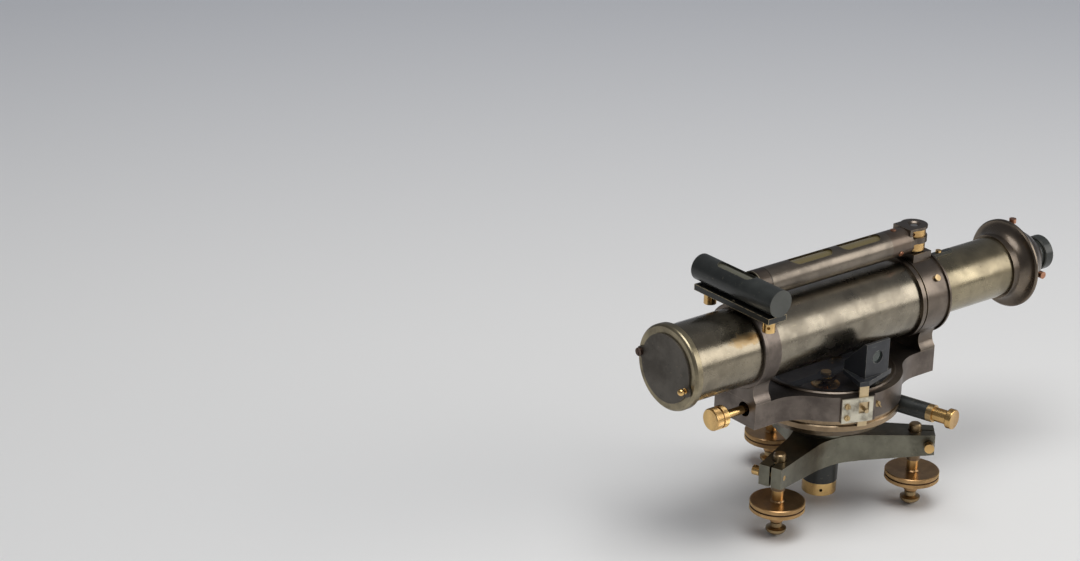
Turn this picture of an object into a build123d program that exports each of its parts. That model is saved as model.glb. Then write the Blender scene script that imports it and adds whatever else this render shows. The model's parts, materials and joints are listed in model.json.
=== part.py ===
"""Surveyor's dumpy level with a prismatic compass in its stage.

Millimetres. The origin is on the vertical axis, in the plane of the three feet. +Z is up,
+X runs along the telescope from the object glass towards the eye.
"""

import os
from math import cos, degrees, hypot, pi, radians, sin, sqrt, tan

from build123d import *

os.makedirs("parts", exist_ok=True)

# Fits
RUN = 0.05  # radial running clearance of a shaft or a sliding tube
GAP = 0.3  # gap between parts that move past each other
EASY = 0.4  # radial clearance of a hole that a screw only passes through

# Heights above the plane of the feet
AXIS_Z = 131.0
STAGE_TOP = 96.5
STAGE_T = 16.8
STAGE_BOTTOM = STAGE_TOP - STAGE_T

# Foot screws
ARM_ANGLES = {"front": 200.0, "right": 320.0, "rear": 80.0}
FOOT_RIM_R = 6.6
FOOT_RIM_Z = 3.6
FOOT_RIM_T = 1.5
FOOT_NECK_R = 3.8
FOOT_NECK_TOP = 9.0
FOOT_PIN_R = 2.2
FOOT_PIN_TOP = 15.5
FOOT_SCREW_R = 4.6
FOOT_SHANK_R = 3.8
FOOT_SHANK_TOP = 32.4
FOOT_SCREW_TIP_R = 4.0
FOOT_SCREW_TOP = 58.0
FOOT_HEAD_R = 17.7
FOOT_HEAD_Z = 18.4
FOOT_HEAD_T = 6.4
FOOT_GROOVE_W = 1.0
FOOT_GROOVE_D = 0.7

# Tribrach
TRIBRACH_TOP = 53.0
TRIBRACH_T = 14.0
TRIBRACH_BOTTOM = TRIBRACH_TOP - TRIBRACH_T
HUB_DROP = 4.6  # depth of the hub below the arm ends
HUB_BOTTOM = TRIBRACH_BOTTOM - HUB_DROP
ARM_END_R = 72.5
FOOT_END_D = 12.5  # from an arm's end to its levelling screw
FOOT_CIRCLE_R = ARM_END_R - FOOT_END_D
ARM_END_HALF = 8.0
ARM_ROOT_HALF = 12.4
ARM_FILLET_R = 44.0
ARM_TAPER_START = 22.0
ARM_SLOT_W = 1.4
BOSS_R = 18.5
BOSS_TOP = 70.0
CLAMP_HOLE_R = 1.6
CLAMP_HEAD_R = 3.2
CLAMP_HEAD_L = 5.0
CLAMP_SCREW_END_D = 3.9
CLAMP_SCREW_R = ARM_END_R - CLAMP_SCREW_END_D

# Socket and spindle
SOCKET_R = 12.0
SOCKET_FOOT_R = 11.5
SOCKET_BOTTOM = 16.4
CAP_R = 11.3
CAP_BOTTOM = 7.5
CAP_WALL = 1.6
SPINDLE_TOP_R = 9.0
SPINDLE_FOOT_R = 6.5
SPINDLE_FOOT_Z = 18.0
SPINDLE_FLANGE_R = 17.0
SPINDLE_FLANGE_T = 4.0
SPINDLE_TAIL_R = 3.5
SPINDLE_TAIL_Z = 10.5
SPINDLE_NUT_R = 8.0
SPINDLE_NUT_T = 4.0

# Clamp ring and slow motion
RING_R = 48.2
RING_BOTTOM = 71.5
RING_BAND_T = 4.6
RING_STEP_R = 46.9
RING_WALL = 4.0
RING_HUB_R = 23.5
RING_HUB_BOTTOM = 60.0
RING_WEB_T = 3.0
RING_WEB_BOTTOM = 66.0
TANGENT_ARM = 23.3  # distance of the tangent screw's line from the vertical axis
TANGENT_ANGLE = -74.1
TANGENT_Z = 73.8
BARREL_SLEEVE_R = 5.8
BARREL_SLEEVE_START = 35.0
BARREL_SLEEVE_END = 68.0
PLUNGER_R = 4.6
PLUNGER_END = 78.0
PLUNGER_SPIGOT_R = 2.0
TANGENT_KNOB_R = 6.6
TANGENT_KNOB_T = 4.3
TIP_GAP = 0.2
LUG_STATION = 26.0
LUG_T = 4.0
LUG_HALF = 4.0
LUG_BOTTOM = 70.2
CLAMP_SCREW_ANGLE = 100.0
CLAMP_KNOB_R = 8.0
CLAMP_KNOB_T = 5.6
CLAMP_ROD_R = 2.5
CLAMP_KNOB_START = 48.8

# Stage
STAGE_HALF_LENGTH = 78.7
STAGE_HALF_WIDTH = 19.3
STAGE_RING_R = 49.0
STAGE_FILLET_R = 30.0
POCKET_R = 43.0
POCKET_FLOOR = 84.0
POCKET_RIM_R = 44.6
POCKET_RIM_D = 2.4

RING_SCREW_ANGLE = -92.0
RING_SCREW_Z = 89.0

# Compass
BEZEL_R = 44.5
BEZEL_INNER_R = 41.6
BEZEL_TOP = 97.9
GLASS_T = 1.4
CARD_R = 40.5
CARD_RING_W = 9.0
CARD_T = 0.5
CARD_Z = 90.6
CARD_CAP_BORE_D = 1.6
PIVOT_R = 1.8
PIVOT_FOOT_R = 9.4
PIVOT_BEAD_R = 2.5
LIFTER_R = 6.8
LIFTER_RING_W = 2.2
LIFTER_TAIL_W = 2.4
LIFTER_T = 1.0
LIFTER_RISE = 1.0
LIFTER_ROD_END = 41.3
LIFTER_Y = -8.7
LIFTER_Z = 90.5
LIFTER_RECESS_R = 5.0
LIFTER_RECESS_D = 7.0
LIFTER_ROD_R = 2.8
LIFTER_KNOB_R = 7.2
LIFTER_KNOB_FACE = 107.0
LIFTER_KNOB_T = 11.0

# Prism and its guide
GUIDE_ANGLE = -109.0
GUIDE_FACE_R = 50.2
GUIDE_PLATE_W = 21.4
GUIDE_PLATE_H = 16.4
GUIDE_PLATE_T = 1.2
GUIDE_PLATE_SHIFT = -1.2
GUIDE_STRIP_W = 6.4
GUIDE_STRIP_T = 1.5
GUIDE_STRIP_SHIFT = 3.2
GUIDE_STRIP_TOP = 103.5
GUIDE_STRIP_BOTTOM = 76.0
PRISM_BOX_HALF = 10.0
PRISM_BOX_WALL = 1.3
PRISM_FRONT_Y = -45.0
PRISM_BACK_Y = -25.7
PRISM_TOP_Z = 129.8
PRISM_BASE_Z = 103.5
PRISM_BASE_ANGLE = 15.0
PRISM_BASE_L = 26.5
PRISM_BASE_T = 3.2
PRISM_SIGHT_Z = 119.4
PRISM_SIGHT_R = 4.3

# Telescope
BARREL_R = 25.4
BARREL_WALL = 1.6
FRONT_COLLAR_X = -80.0
FRONT_COLLAR_L = 14.0
FRONT_FLANGE_T = 2.4
FRONT_FLANGE_R = 27.8
FRONT_BAND_R = 26.9
REAR_COLLAR_X = 57.0
REAR_COLLAR_L = 25.0
REAR_GROOVE_R = 26.6
REAR_BAND_R = 27.4
REAR_FLANGE_R = 28.6
REAR_FLANGE_T = 1.8
REAR_LUG_W = 19.0
REAR_LUG_LAP = 2.9
COLLAR_SCREW_D = 9.0
PEDESTAL_L = 12.8
PEDESTAL_WAIST = 16.3
CELL_FRONT_X = -121.0
CELL_BACK_X = -62.0
CELL_WALL = 1.4
LENS_R = 19.5
LENS_T = 9.0
SHADE_FRONT_X = -131.0
SHADE_WALL = 1.4
SHADE_RING_R = 28.0
SHADE_RING_FRONT_X = -137.2
SHADE_RING_L = 6.4
SHADE_APERTURE_R = 20.5
SHUTTER_T = 1.2
SHUTTER_R = 22.4
SHUTTER_EAR_R = 3.4
SHUTTER_PIVOT_Y = 23.6
SHUTTER_PIVOT_Z = 3.2
SHUTTER_SHANK_R = 1.6
SHUTTER_NECK_R = 1.3
SHUTTER_BALL_R = 2.3
DRAW_R = 20.5
DRAW_WALL = 1.7
DRAW_FRONT_X = -8.0
DRAW_GUIDE_L = 6.0
DRAW_BACK_X = 150.0
HEAD_LAP = 3.0
HEAD_SLEEVE_X = DRAW_BACK_X - HEAD_LAP
HEAD_SLEEVE_R = 21.9
HEAD_DISC_R = 30.1
HEAD_SLEEVE_L = 12.0
HEAD_DISC_X = HEAD_SLEEVE_X + HEAD_SLEEVE_L
HEAD_DISC_T = 2.4
EYEPIECE_R = 11.8
EYEPIECE_TUBE_L = 24.0
EYEPIECE_REACH = 37.0  # from the disc to the eyepiece's end
EYEPIECE_END_X = HEAD_DISC_X + EYEPIECE_REACH
KEY_W = 4.0
KEY_TOP = 22.6  # above the optical axis
KEY_FRONT_X = 44.0
KEY_BACK_X = 107.0
KEY_SCREW_X = 95.6
RACK_W = 5.0
RACK_L = 46.0
RACK_X = 2.0
RACK_BASE_T = 1.2
PINION_MODULE = 0.7
PINION_TEETH = 12
PINION_X = 40.0
PINION_SHAFT_R = 2.0
PINION_KNOB_R = 7.6
PINION_KNOB_T = 8.0
PINION_KNOB_Y = 30.0
PINION_BOX_W = 15.0
PINION_PLAY = 0.16  # share of the tooth width left as backlash

# Main level
LEVEL_Z = 169.8
LEVEL_R = 9.5
LEVEL_WALL = 1.1
LEVEL_FRONT_X = -69.5
LEVEL_BACK_X = 60.0
LEVEL_CUP_L = 9.5
VIAL_R = 8.2
LEVEL_WINDOW_HALF = 17.5
LEVEL_WINDOW_W = 10.5
LEVEL_WINDOW_X = (-21.0, 21.0)
STUD_X = 70.8
STUD_R = 2.4
STUD_SEAT_D = 1.6
EYE_R = 9.0
EYE_BOTTOM = 168.6
EYE_PLATE_T = 4.0
EYE_WINDOW_H = 5.4
EYE_LID_T = 1.6
EYE_WINDOW_Z = EYE_BOTTOM + EYE_PLATE_T
EYE_TOP = EYE_WINDOW_Z + EYE_WINDOW_H + EYE_LID_T
EYE_DISH_D = 0.9
NUT_R = 8.0
NUT_T = 5.6
NUT_TRAVEL = 0.8  # clearance under the lower nut for the level's tilt
NUT_RUN = 0.08
HINGE_X = -65.6
HINGE_PIN_R = 1.3

# Cross level
CROSS_X = -79.0
CROSS_R = 8.8
CROSS_HALF = 37.0
CROSS_PLATE_HALF = 34.8
CROSS_PLATE_W = 14.8
CROSS_PLATE_T = 4.0
CROSS_PLATE_TOP = 163.2
CROSS_WALL = 1.2
CROSS_WINDOW_HALF = 16.0
CROSS_WINDOW_W = 8.0
CROSS_SCREW_Y = 27.5
CROSS_HEAD_R = 4.1
CROSS_HEAD_L = 8.0
CROSS_SHANK_R = 1.6
CROSS_RIDGE_H = 0.45
CROSS_RIDGE_R = 2.2
CROSS_VIAL_GAP = 0.2

# Tommy holes of the capstan heads
TOMMY_R = 1.1

OPTIC = Plane(origin=(0, 0, AXIS_Z), x_dir=(1, 0, 0), z_dir=(0, -1, 0))
OPTIC_AXIS = Axis((0, 0, AXIS_Z), (1, 0, 0))


def keep(piece, name):
    """Label a finished piece and write it."""
    piece.part.label = name
    export_step(piece.part, f"parts/{name}.step")


def outline_face(plane, points):
    """Return the closed polygon through points as a face on plane."""
    with BuildSketch(plane) as face:
        with BuildLine():
            Polyline(*points, close=True)
        make_face()
    return face.sketch


def tube_section(x_0, x_1, inner, outer):
    """Return the corners of a tube's section between two stations."""
    return [(x_0, inner), (x_1, inner), (x_1, outer), (x_0, outer)]


def across(angle, radius, height=0.0):
    """Return a plane at a radius, its normal pointing out from the vertical axis at an angle."""
    out = (cos(radians(angle)), sin(radians(angle)), 0)
    side = (-out[1], out[0], 0)
    return Plane(origin=(radius * out[0], radius * out[1], height), x_dir=side, z_dir=out)


def polar(radius, angle):
    """Return the plan position at a radius and an angle in degrees."""
    return radius * cos(radians(angle)), radius * sin(radians(angle))


# Levelling screws and their swivelling mushroom feet
for arm, angle in ARM_ANGLES.items():
    foot_x, foot_y = polar(FOOT_CIRCLE_R, angle)
    foot_plane = Plane(origin=(foot_x, foot_y, 0), x_dir=(1, 0, 0), z_dir=(0, -1, 0))
    foot_axis = Axis((foot_x, foot_y, 0), (0, 0, 1))

    with BuildPart() as ball_foot:
        with BuildSketch(foot_plane):
            with BuildLine():
                rim_top = FOOT_RIM_Z + FOOT_RIM_T
                dome_r = (FOOT_RIM_R**2 + FOOT_RIM_Z**2) / (2 * FOOT_RIM_Z)
                dome_x = 0.6 * FOOT_RIM_R
                dome_point = (dome_x, dome_r - sqrt(dome_r**2 - dome_x**2))
                ThreePointArc((0, 0), dome_point, (FOOT_RIM_R, FOOT_RIM_Z))
                Line((FOOT_RIM_R, FOOT_RIM_Z), (FOOT_RIM_R, rim_top))
                Line((FOOT_RIM_R, rim_top), (FOOT_NECK_R, rim_top + 1.2))
                Polyline(
                    (FOOT_NECK_R, rim_top + 1.2),
                    (FOOT_NECK_R, FOOT_NECK_TOP),
                    (FOOT_PIN_R, FOOT_NECK_TOP),
                    (FOOT_PIN_R, FOOT_PIN_TOP),
                    (0, FOOT_PIN_TOP),
                    (0, 0),
                )
            make_face()
        revolve(axis=foot_axis)
    keep(ball_foot, f"ball_foot_{arm}")

    with BuildPart() as foot_screw:
        screw_bottom = FOOT_NECK_TOP + GAP
        head_top = FOOT_HEAD_Z + FOOT_HEAD_T
        groove_low = FOOT_HEAD_Z + (FOOT_HEAD_T - FOOT_GROOVE_W) / 2
        groove_high = groove_low + FOOT_GROOVE_W
        groove_r = FOOT_HEAD_R - FOOT_GROOVE_D
        revolve(
            outline_face(
                foot_plane,
                [
                    (0, FOOT_PIN_TOP + GAP),
                    (FOOT_PIN_R + RUN, FOOT_PIN_TOP + GAP),
                    (FOOT_PIN_R + RUN, screw_bottom),
                    (FOOT_NECK_R, screw_bottom),
                    (FOOT_SCREW_R, screw_bottom + 1),
                    (FOOT_SCREW_R, FOOT_HEAD_Z + 1),
                    (FOOT_HEAD_R - 2.5, FOOT_HEAD_Z),
                    (FOOT_HEAD_R - 0.4, FOOT_HEAD_Z),
                    (FOOT_HEAD_R, FOOT_HEAD_Z + 0.4),
                    (FOOT_HEAD_R, groove_low),
                    (groove_r, groove_low),
                    (groove_r, groove_high),
                    (FOOT_HEAD_R, groove_high),
                    (FOOT_HEAD_R, head_top - 0.4),
                    (FOOT_HEAD_R - 0.6, head_top),
                    (FOOT_SCREW_R + 2, head_top - 0.5),
                    (FOOT_SHANK_R + 0.8, head_top - 0.5),
                    (FOOT_SHANK_R, head_top + 0.3),
                    (FOOT_SHANK_R, FOOT_SHANK_TOP - 0.6),
                    (FOOT_SCREW_R, FOOT_SHANK_TOP),
                    (FOOT_SCREW_R, TRIBRACH_TOP - 1),
                    (FOOT_SCREW_TIP_R, TRIBRACH_TOP - 0.4),
                    (FOOT_SCREW_TIP_R, FOOT_SCREW_TOP - 0.8),
                    (FOOT_SCREW_TIP_R - 0.8, FOOT_SCREW_TOP),
                    (0, FOOT_SCREW_TOP),
                ],
            ),
            axis=foot_axis,
        )
    keep(foot_screw, f"foot_screw_{arm}")

# Three-armed tribrach: arms that taper in plan and in depth and run together through large fillets
with BuildPart() as tribrach:
    with BuildSketch(Plane.XY.offset(HUB_BOTTOM)):
        for angle in ARM_ANGLES.values():
            with BuildSketch(Plane.XY.rotated((0, 0, angle)), mode=Mode.PRIVATE) as arm_sketch:
                with BuildLine():
                    Polyline(
                        (0, -ARM_ROOT_HALF),
                        (ARM_END_R, -ARM_END_HALF),
                        (ARM_END_R, ARM_END_HALF),
                        (0, ARM_ROOT_HALF),
                        close=True,
                    )
                make_face()
            add(arm_sketch.sketch)
    extrude(amount=TRIBRACH_TOP - HUB_BOTTOM)
    inner_corners = (
        tribrach.edges()
        .filter_by(Axis.Z)
        .filter_by(lambda edge: ARM_ROOT_HALF / 2 < hypot(edge.center().X, edge.center().Y) < ARM_END_R / 2)
    )
    fillet(inner_corners, radius=ARM_FILLET_R)
    for angle in ARM_ANGLES.values():
        arm_side = Plane.XZ.rotated((0, 0, angle))
        wedge = [
            (ARM_TAPER_START, HUB_BOTTOM),
            (ARM_END_R, TRIBRACH_BOTTOM),
            (ARM_END_R + 1, TRIBRACH_BOTTOM),
            (ARM_END_R + 1, HUB_BOTTOM - 1),
            (ARM_TAPER_START, HUB_BOTTOM - 1),
        ]
        extrude(outline_face(arm_side, wedge), amount=3 * ARM_ROOT_HALF, both=True, mode=Mode.SUBTRACT)
    with BuildSketch(Plane.XY.offset(HUB_BOTTOM)):
        Circle(BOSS_R)
    extrude(amount=BOSS_TOP - HUB_BOTTOM)
    with Locations((0, 0, HUB_BOTTOM)):
        Hole(SOCKET_R, depth=2 * BOSS_TOP)
    for angle in ARM_ANGLES.values():
        foot_x, foot_y = polar(FOOT_CIRCLE_R, angle)
        with Locations((foot_x, foot_y, TRIBRACH_TOP)):
            Hole(FOOT_SCREW_R + RUN, depth=3 * TRIBRACH_T)
        slot_length = ARM_END_R - FOOT_CIRCLE_R + 1
        with BuildSketch(across(angle, FOOT_CIRCLE_R, TRIBRACH_TOP - TRIBRACH_T / 2)) as slot:
            Rectangle(ARM_SLOT_W, 2 * TRIBRACH_T)
        extrude(slot.sketch, amount=slot_length, mode=Mode.SUBTRACT)
        hole_plane = Plane(
            origin=(*polar(CLAMP_SCREW_R, angle), TRIBRACH_TOP - TRIBRACH_T / 2),
            z_dir=(sin(radians(angle)), -cos(radians(angle)), 0),
        )
        with BuildSketch(hole_plane) as clamp_hole:
            Circle(CLAMP_HOLE_R)
        extrude(clamp_hole.sketch, amount=2 * ARM_END_HALF, both=True, mode=Mode.SUBTRACT)
keep(tribrach, "tribrach")

# Capstan clamp screws across the split arm ends
with BuildPart() as arm_clamp_screws:
    for angle in ARM_ANGLES.values():
        side_reach = ARM_END_HALF + (ARM_ROOT_HALF - ARM_END_HALF) * (1 - CLAMP_SCREW_R / ARM_END_R)
        head_side = (sin(radians(angle)), -cos(radians(angle)), 0)
        screw_plane = Plane(
            origin=(*polar(CLAMP_SCREW_R, angle), TRIBRACH_TOP - TRIBRACH_T / 2),
            x_dir=(0, 0, 1),
            z_dir=head_side,
        )
        with BuildSketch(screw_plane.offset(-side_reach)) as shank:
            Circle(CLAMP_HOLE_R)
        extrude(shank.sketch, amount=2 * side_reach + 0.6)
        with BuildSketch(screw_plane.offset(side_reach + 0.6)) as head:
            Circle(CLAMP_HEAD_R)
        extrude(head.sketch, amount=CLAMP_HEAD_L)
        head_middle = screw_plane.offset(side_reach + 0.6 + CLAMP_HEAD_L / 2).origin
        tommy_plane = Plane(origin=head_middle, z_dir=(0, 0, 1))
        with BuildSketch(tommy_plane) as tommy:
            Circle(TOMMY_R)
        extrude(tommy.sketch, amount=CLAMP_HEAD_R + 1, both=True, mode=Mode.SUBTRACT)
keep(arm_clamp_screws, "arm_clamp_screws")

# Bush for the vertical spindle, with a tapered bore
SPINDLE_TAPER = (SPINDLE_TOP_R - SPINDLE_FOOT_R) / (BOSS_TOP - SPINDLE_FOOT_Z)


def spindle_radius(height):
    """Return the spindle's radius at a height."""
    return SPINDLE_FOOT_R + SPINDLE_TAPER * (height - SPINDLE_FOOT_Z)


with BuildPart() as centre_socket:
    revolve(
        outline_face(
            Plane.XZ,
            [
                (spindle_radius(SOCKET_BOTTOM) + RUN, SOCKET_BOTTOM),
                (SOCKET_FOOT_R, SOCKET_BOTTOM),
                (SOCKET_R, HUB_BOTTOM),
                (SOCKET_R, BOSS_TOP),
                (spindle_radius(BOSS_TOP) + RUN, BOSS_TOP),
            ],
        ),
        axis=Axis.Z,
    )
keep(centre_socket, "centre_socket")

with BuildPart() as socket_cap:
    revolve(
        outline_face(
            Plane.XZ,
            [
                (0, CAP_BOTTOM),
                (CAP_R - 0.5, CAP_BOTTOM),
                (CAP_R, CAP_BOTTOM + 0.5),
                (CAP_R, SOCKET_BOTTOM),
                (CAP_R - CAP_WALL, SOCKET_BOTTOM),
                (CAP_R - CAP_WALL, CAP_BOTTOM + CAP_WALL),
                (0, CAP_BOTTOM + CAP_WALL),
            ],
        ),
        axis=Axis.Z,
    )
    for tommy_angle in (-127, 53):
        with BuildSketch(across(tommy_angle, CAP_R + 1, (CAP_BOTTOM + SOCKET_BOTTOM) / 2)) as tommy:
            Circle(TOMMY_R)
        extrude(tommy.sketch, amount=-CAP_WALL - 1.6, mode=Mode.SUBTRACT)
keep(socket_cap, "socket_cap")

# Spindle with its flange under the stage, and the nut on its tail
with BuildPart() as spindle:
    flange_bottom = STAGE_BOTTOM - SPINDLE_FLANGE_T
    revolve(
        outline_face(
            Plane.XZ,
            [
                (0, SPINDLE_TAIL_Z),
                (SPINDLE_TAIL_R, SPINDLE_TAIL_Z),
                (SPINDLE_TAIL_R, SPINDLE_FOOT_Z),
                (SPINDLE_FOOT_R, SPINDLE_FOOT_Z),
                (spindle_radius(BOSS_TOP), BOSS_TOP),
                (spindle_radius(BOSS_TOP), BOSS_TOP + GAP),
                (SPINDLE_TOP_R + 3, flange_bottom),
                (SPINDLE_FLANGE_R, flange_bottom),
                (SPINDLE_FLANGE_R, STAGE_BOTTOM),
                (0, STAGE_BOTTOM),
            ],
        ),
        axis=Axis.Z,
    )
keep(spindle, "spindle")

with BuildPart() as spindle_nut:
    with BuildSketch(Plane.XY.offset(SOCKET_BOTTOM - GAP)):
        RegularPolygon(SPINDLE_NUT_R, 6)
        Circle(SPINDLE_TAIL_R, mode=Mode.SUBTRACT)
    extrude(amount=-SPINDLE_NUT_T)
keep(spindle_nut, "spindle_nut")

# Slow motion: everything lies on one line, at a fixed distance from the vertical axis
tangent_out = Vector(cos(radians(TANGENT_ANGLE)), sin(radians(TANGENT_ANGLE)), 0)
tangent_side = Vector(-tangent_out.Y, tangent_out.X, 0)


def tangent_plane(station):
    """Return the plane across the tangent screw's line at a station, facing outwards."""
    centre = tangent_side * TANGENT_ARM + tangent_out * station + Vector(0, 0, TANGENT_Z)
    return Plane(origin=centre, x_dir=tangent_side, z_dir=tangent_out)


lug_outer = LUG_STATION + LUG_T / 2
lug_inner = LUG_STATION - LUG_T / 2

with BuildPart() as clamp_ring:
    revolve(
        outline_face(
            Plane.XZ,
            [
                (BOSS_R + RUN, RING_HUB_BOTTOM),
                (RING_HUB_R, RING_HUB_BOTTOM),
                (RING_HUB_R, RING_WEB_BOTTOM),
                (RING_R - RING_WALL - 3, RING_WEB_BOTTOM),
                (RING_R - 1.2, RING_BOTTOM),
                (RING_R, RING_BOTTOM + 0.8),
                (RING_R, RING_BOTTOM + RING_BAND_T - 0.6),
                (RING_R - 0.6, RING_BOTTOM + RING_BAND_T),
                (RING_STEP_R, RING_BOTTOM + RING_BAND_T),
                (RING_STEP_R, STAGE_BOTTOM - GAP),
                (RING_R - RING_WALL, STAGE_BOTTOM - GAP),
                (RING_R - RING_WALL, RING_WEB_BOTTOM + RING_WEB_T),
                (RING_HUB_R, RING_WEB_BOTTOM + RING_WEB_T),
                (RING_HUB_R, BOSS_TOP),
                (BOSS_R + RUN, BOSS_TOP),
            ],
        ),
        axis=Axis.Z,
    )
    with BuildSketch(tangent_plane(BARREL_SLEEVE_START - 4)) as sleeve_seat:
        Circle(BARREL_SLEEVE_R)
    extrude(sleeve_seat.sketch, amount=30, mode=Mode.SUBTRACT)
    with BuildSketch(across(CLAMP_SCREW_ANGLE, BOSS_R - 1, RING_HUB_BOTTOM + 3.0)) as clamp_bore:
        Circle(CLAMP_ROD_R + RUN)
    extrude(clamp_bore.sketch, amount=RING_R, mode=Mode.SUBTRACT)
keep(clamp_ring, "clamp_ring")

with BuildPart() as tangent_barrel:
    with BuildSketch(tangent_plane(BARREL_SLEEVE_START)):
        Circle(BARREL_SLEEVE_R)
    extrude(amount=BARREL_SLEEVE_END - BARREL_SLEEVE_START)
    with BuildSketch(tangent_plane(BARREL_SLEEVE_END)) as wide_bore:
        Circle(PLUNGER_R + RUN)
    extrude(wide_bore.sketch, amount=-22, mode=Mode.SUBTRACT)
    with BuildSketch(tangent_plane(BARREL_SLEEVE_END)) as narrow_bore:
        Circle(PLUNGER_SPIGOT_R + RUN)
    extrude(narrow_bore.sketch, amount=-40, mode=Mode.SUBTRACT)
keep(tangent_barrel, "tangent_barrel")

plunger_shoulder = BARREL_SLEEVE_END - 18
with BuildPart() as tangent_plunger:
    with BuildSketch(tangent_plane(lug_outer + TIP_GAP)):
        Circle(PLUNGER_SPIGOT_R)
    extrude(amount=PLUNGER_END - lug_outer - TIP_GAP + TANGENT_KNOB_T - 1)
    with BuildSketch(tangent_plane(plunger_shoulder)):
        Circle(PLUNGER_R)
    extrude(amount=PLUNGER_END - plunger_shoulder)
keep(tangent_plunger, "tangent_plunger")

with BuildPart() as tangent_knob:
    with BuildSketch(tangent_plane(PLUNGER_END + 0.1)):
        Circle(TANGENT_KNOB_R)
    extrude(amount=TANGENT_KNOB_T)
    with BuildSketch(tangent_plane(PLUNGER_END)) as knob_bore:
        Circle(PLUNGER_SPIGOT_R + RUN)
    extrude(knob_bore.sketch, amount=TANGENT_KNOB_T - 0.6, mode=Mode.SUBTRACT)
    knob_rims = tangent_knob.edges().filter_by(GeomType.CIRCLE).filter_by(
        lambda edge: edge.radius > TANGENT_KNOB_R - 0.1
    )
    fillet(knob_rims, radius=0.7)
keep(tangent_knob, "tangent_knob")

with BuildPart() as clamp_screw:
    clamp_z = RING_HUB_BOTTOM + 3.0
    with BuildSketch(across(CLAMP_SCREW_ANGLE, BOSS_R + GAP, clamp_z)):
        Circle(CLAMP_ROD_R)
    extrude(amount=CLAMP_KNOB_START - BOSS_R)
    with BuildSketch(across(CLAMP_SCREW_ANGLE, CLAMP_KNOB_START, clamp_z)):
        Circle(CLAMP_KNOB_R)
    extrude(amount=CLAMP_KNOB_T)
    clamp_rims = clamp_screw.edges().filter_by(GeomType.CIRCLE).filter_by(
        lambda edge: edge.radius > CLAMP_KNOB_R - 0.1
    )
    fillet(clamp_rims, radius=0.6)
keep(clamp_screw, "clamp_screw")

# Stage: a bar that widens through concave fillets into the ring round the compass
guide_plane = across(GUIDE_ANGLE, GUIDE_FACE_R, (STAGE_TOP + STAGE_BOTTOM) / 2)
prism_groove_w = GUIDE_STRIP_W + 2 * RUN
prism_groove_d = GUIDE_STRIP_T + 2 * RUN
lifter_plane = Plane(origin=(-STAGE_HALF_LENGTH, LIFTER_Y, LIFTER_Z), x_dir=(0, -1, 0), z_dir=(-1, 0, 0))

with BuildPart() as stage:
    with BuildSketch(Plane.XY.offset(STAGE_BOTTOM)):
        Rectangle(2 * STAGE_HALF_LENGTH, 2 * STAGE_HALF_WIDTH)
        Circle(STAGE_RING_R)
    extrude(amount=STAGE_T)
    crook = stage.edges().filter_by(Axis.Z).filter_by(lambda edge: abs(edge.center().X) < STAGE_RING_R)
    fillet(crook, radius=STAGE_FILLET_R)
    with BuildSketch(guide_plane.offset(-8)):
        Rectangle(GUIDE_PLATE_W + 2, STAGE_T)
    extrude(amount=8)
    with BuildSketch(Plane.XY.offset(STAGE_TOP)):
        Circle(POCKET_R)
    extrude(amount=POCKET_FLOOR - STAGE_TOP, mode=Mode.SUBTRACT)
    with BuildSketch(Plane.XY.offset(STAGE_TOP)):
        Circle(POCKET_RIM_R)
    extrude(amount=-POCKET_RIM_D, mode=Mode.SUBTRACT)
    with BuildSketch(guide_plane):
        with Locations((GUIDE_STRIP_SHIFT, 0)):
            Rectangle(prism_groove_w, STAGE_T + 2)
    extrude(amount=-prism_groove_d, mode=Mode.SUBTRACT)
    with BuildSketch(lifter_plane):
        Circle(LIFTER_RECESS_R)
    extrude(amount=-LIFTER_RECESS_D, mode=Mode.SUBTRACT)
    with BuildSketch(lifter_plane):
        Circle(LIFTER_ROD_R + RUN)
    extrude(amount=-(STAGE_HALF_LENGTH - POCKET_R + 6), mode=Mode.SUBTRACT)
    with BuildSketch(tangent_plane(lug_inner)):
        with Locations((0, (STAGE_BOTTOM + LUG_BOTTOM) / 2 - TANGENT_Z)):
            Rectangle(2 * LUG_HALF, STAGE_BOTTOM - LUG_BOTTOM)
    extrude(amount=LUG_T)
    for screw_x, screw_z in ((-7.2, 3.6), (-7.2, -4.4)):
        with BuildSketch(guide_plane):
            with Locations((screw_x + GUIDE_PLATE_SHIFT, screw_z)):
                Circle(0.9)
        extrude(amount=-3, mode=Mode.SUBTRACT)
keep(stage, "stage")

# Compass under glass
with BuildPart() as compass_bezel:
    revolve(
        outline_face(
            Plane.XZ,
            [
                (BEZEL_INNER_R - 1.2, STAGE_TOP - POCKET_RIM_D + GLASS_T),
                (BEZEL_R, STAGE_TOP - POCKET_RIM_D + GLASS_T),
                (BEZEL_R, BEZEL_TOP - 0.8),
                (BEZEL_R - 0.8, BEZEL_TOP),
                (BEZEL_INNER_R, BEZEL_TOP),
                (BEZEL_INNER_R - 1.2, BEZEL_TOP - 1.2),
            ],
        ),
        axis=Axis.Z,
    )
keep(compass_bezel, "compass_bezel")

with BuildPart() as compass_glass:
    with BuildSketch(Plane.XY.offset(STAGE_TOP - POCKET_RIM_D)):
        Circle(BEZEL_R)
    extrude(amount=GLASS_T)
keep(compass_glass, "compass_glass")

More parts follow.
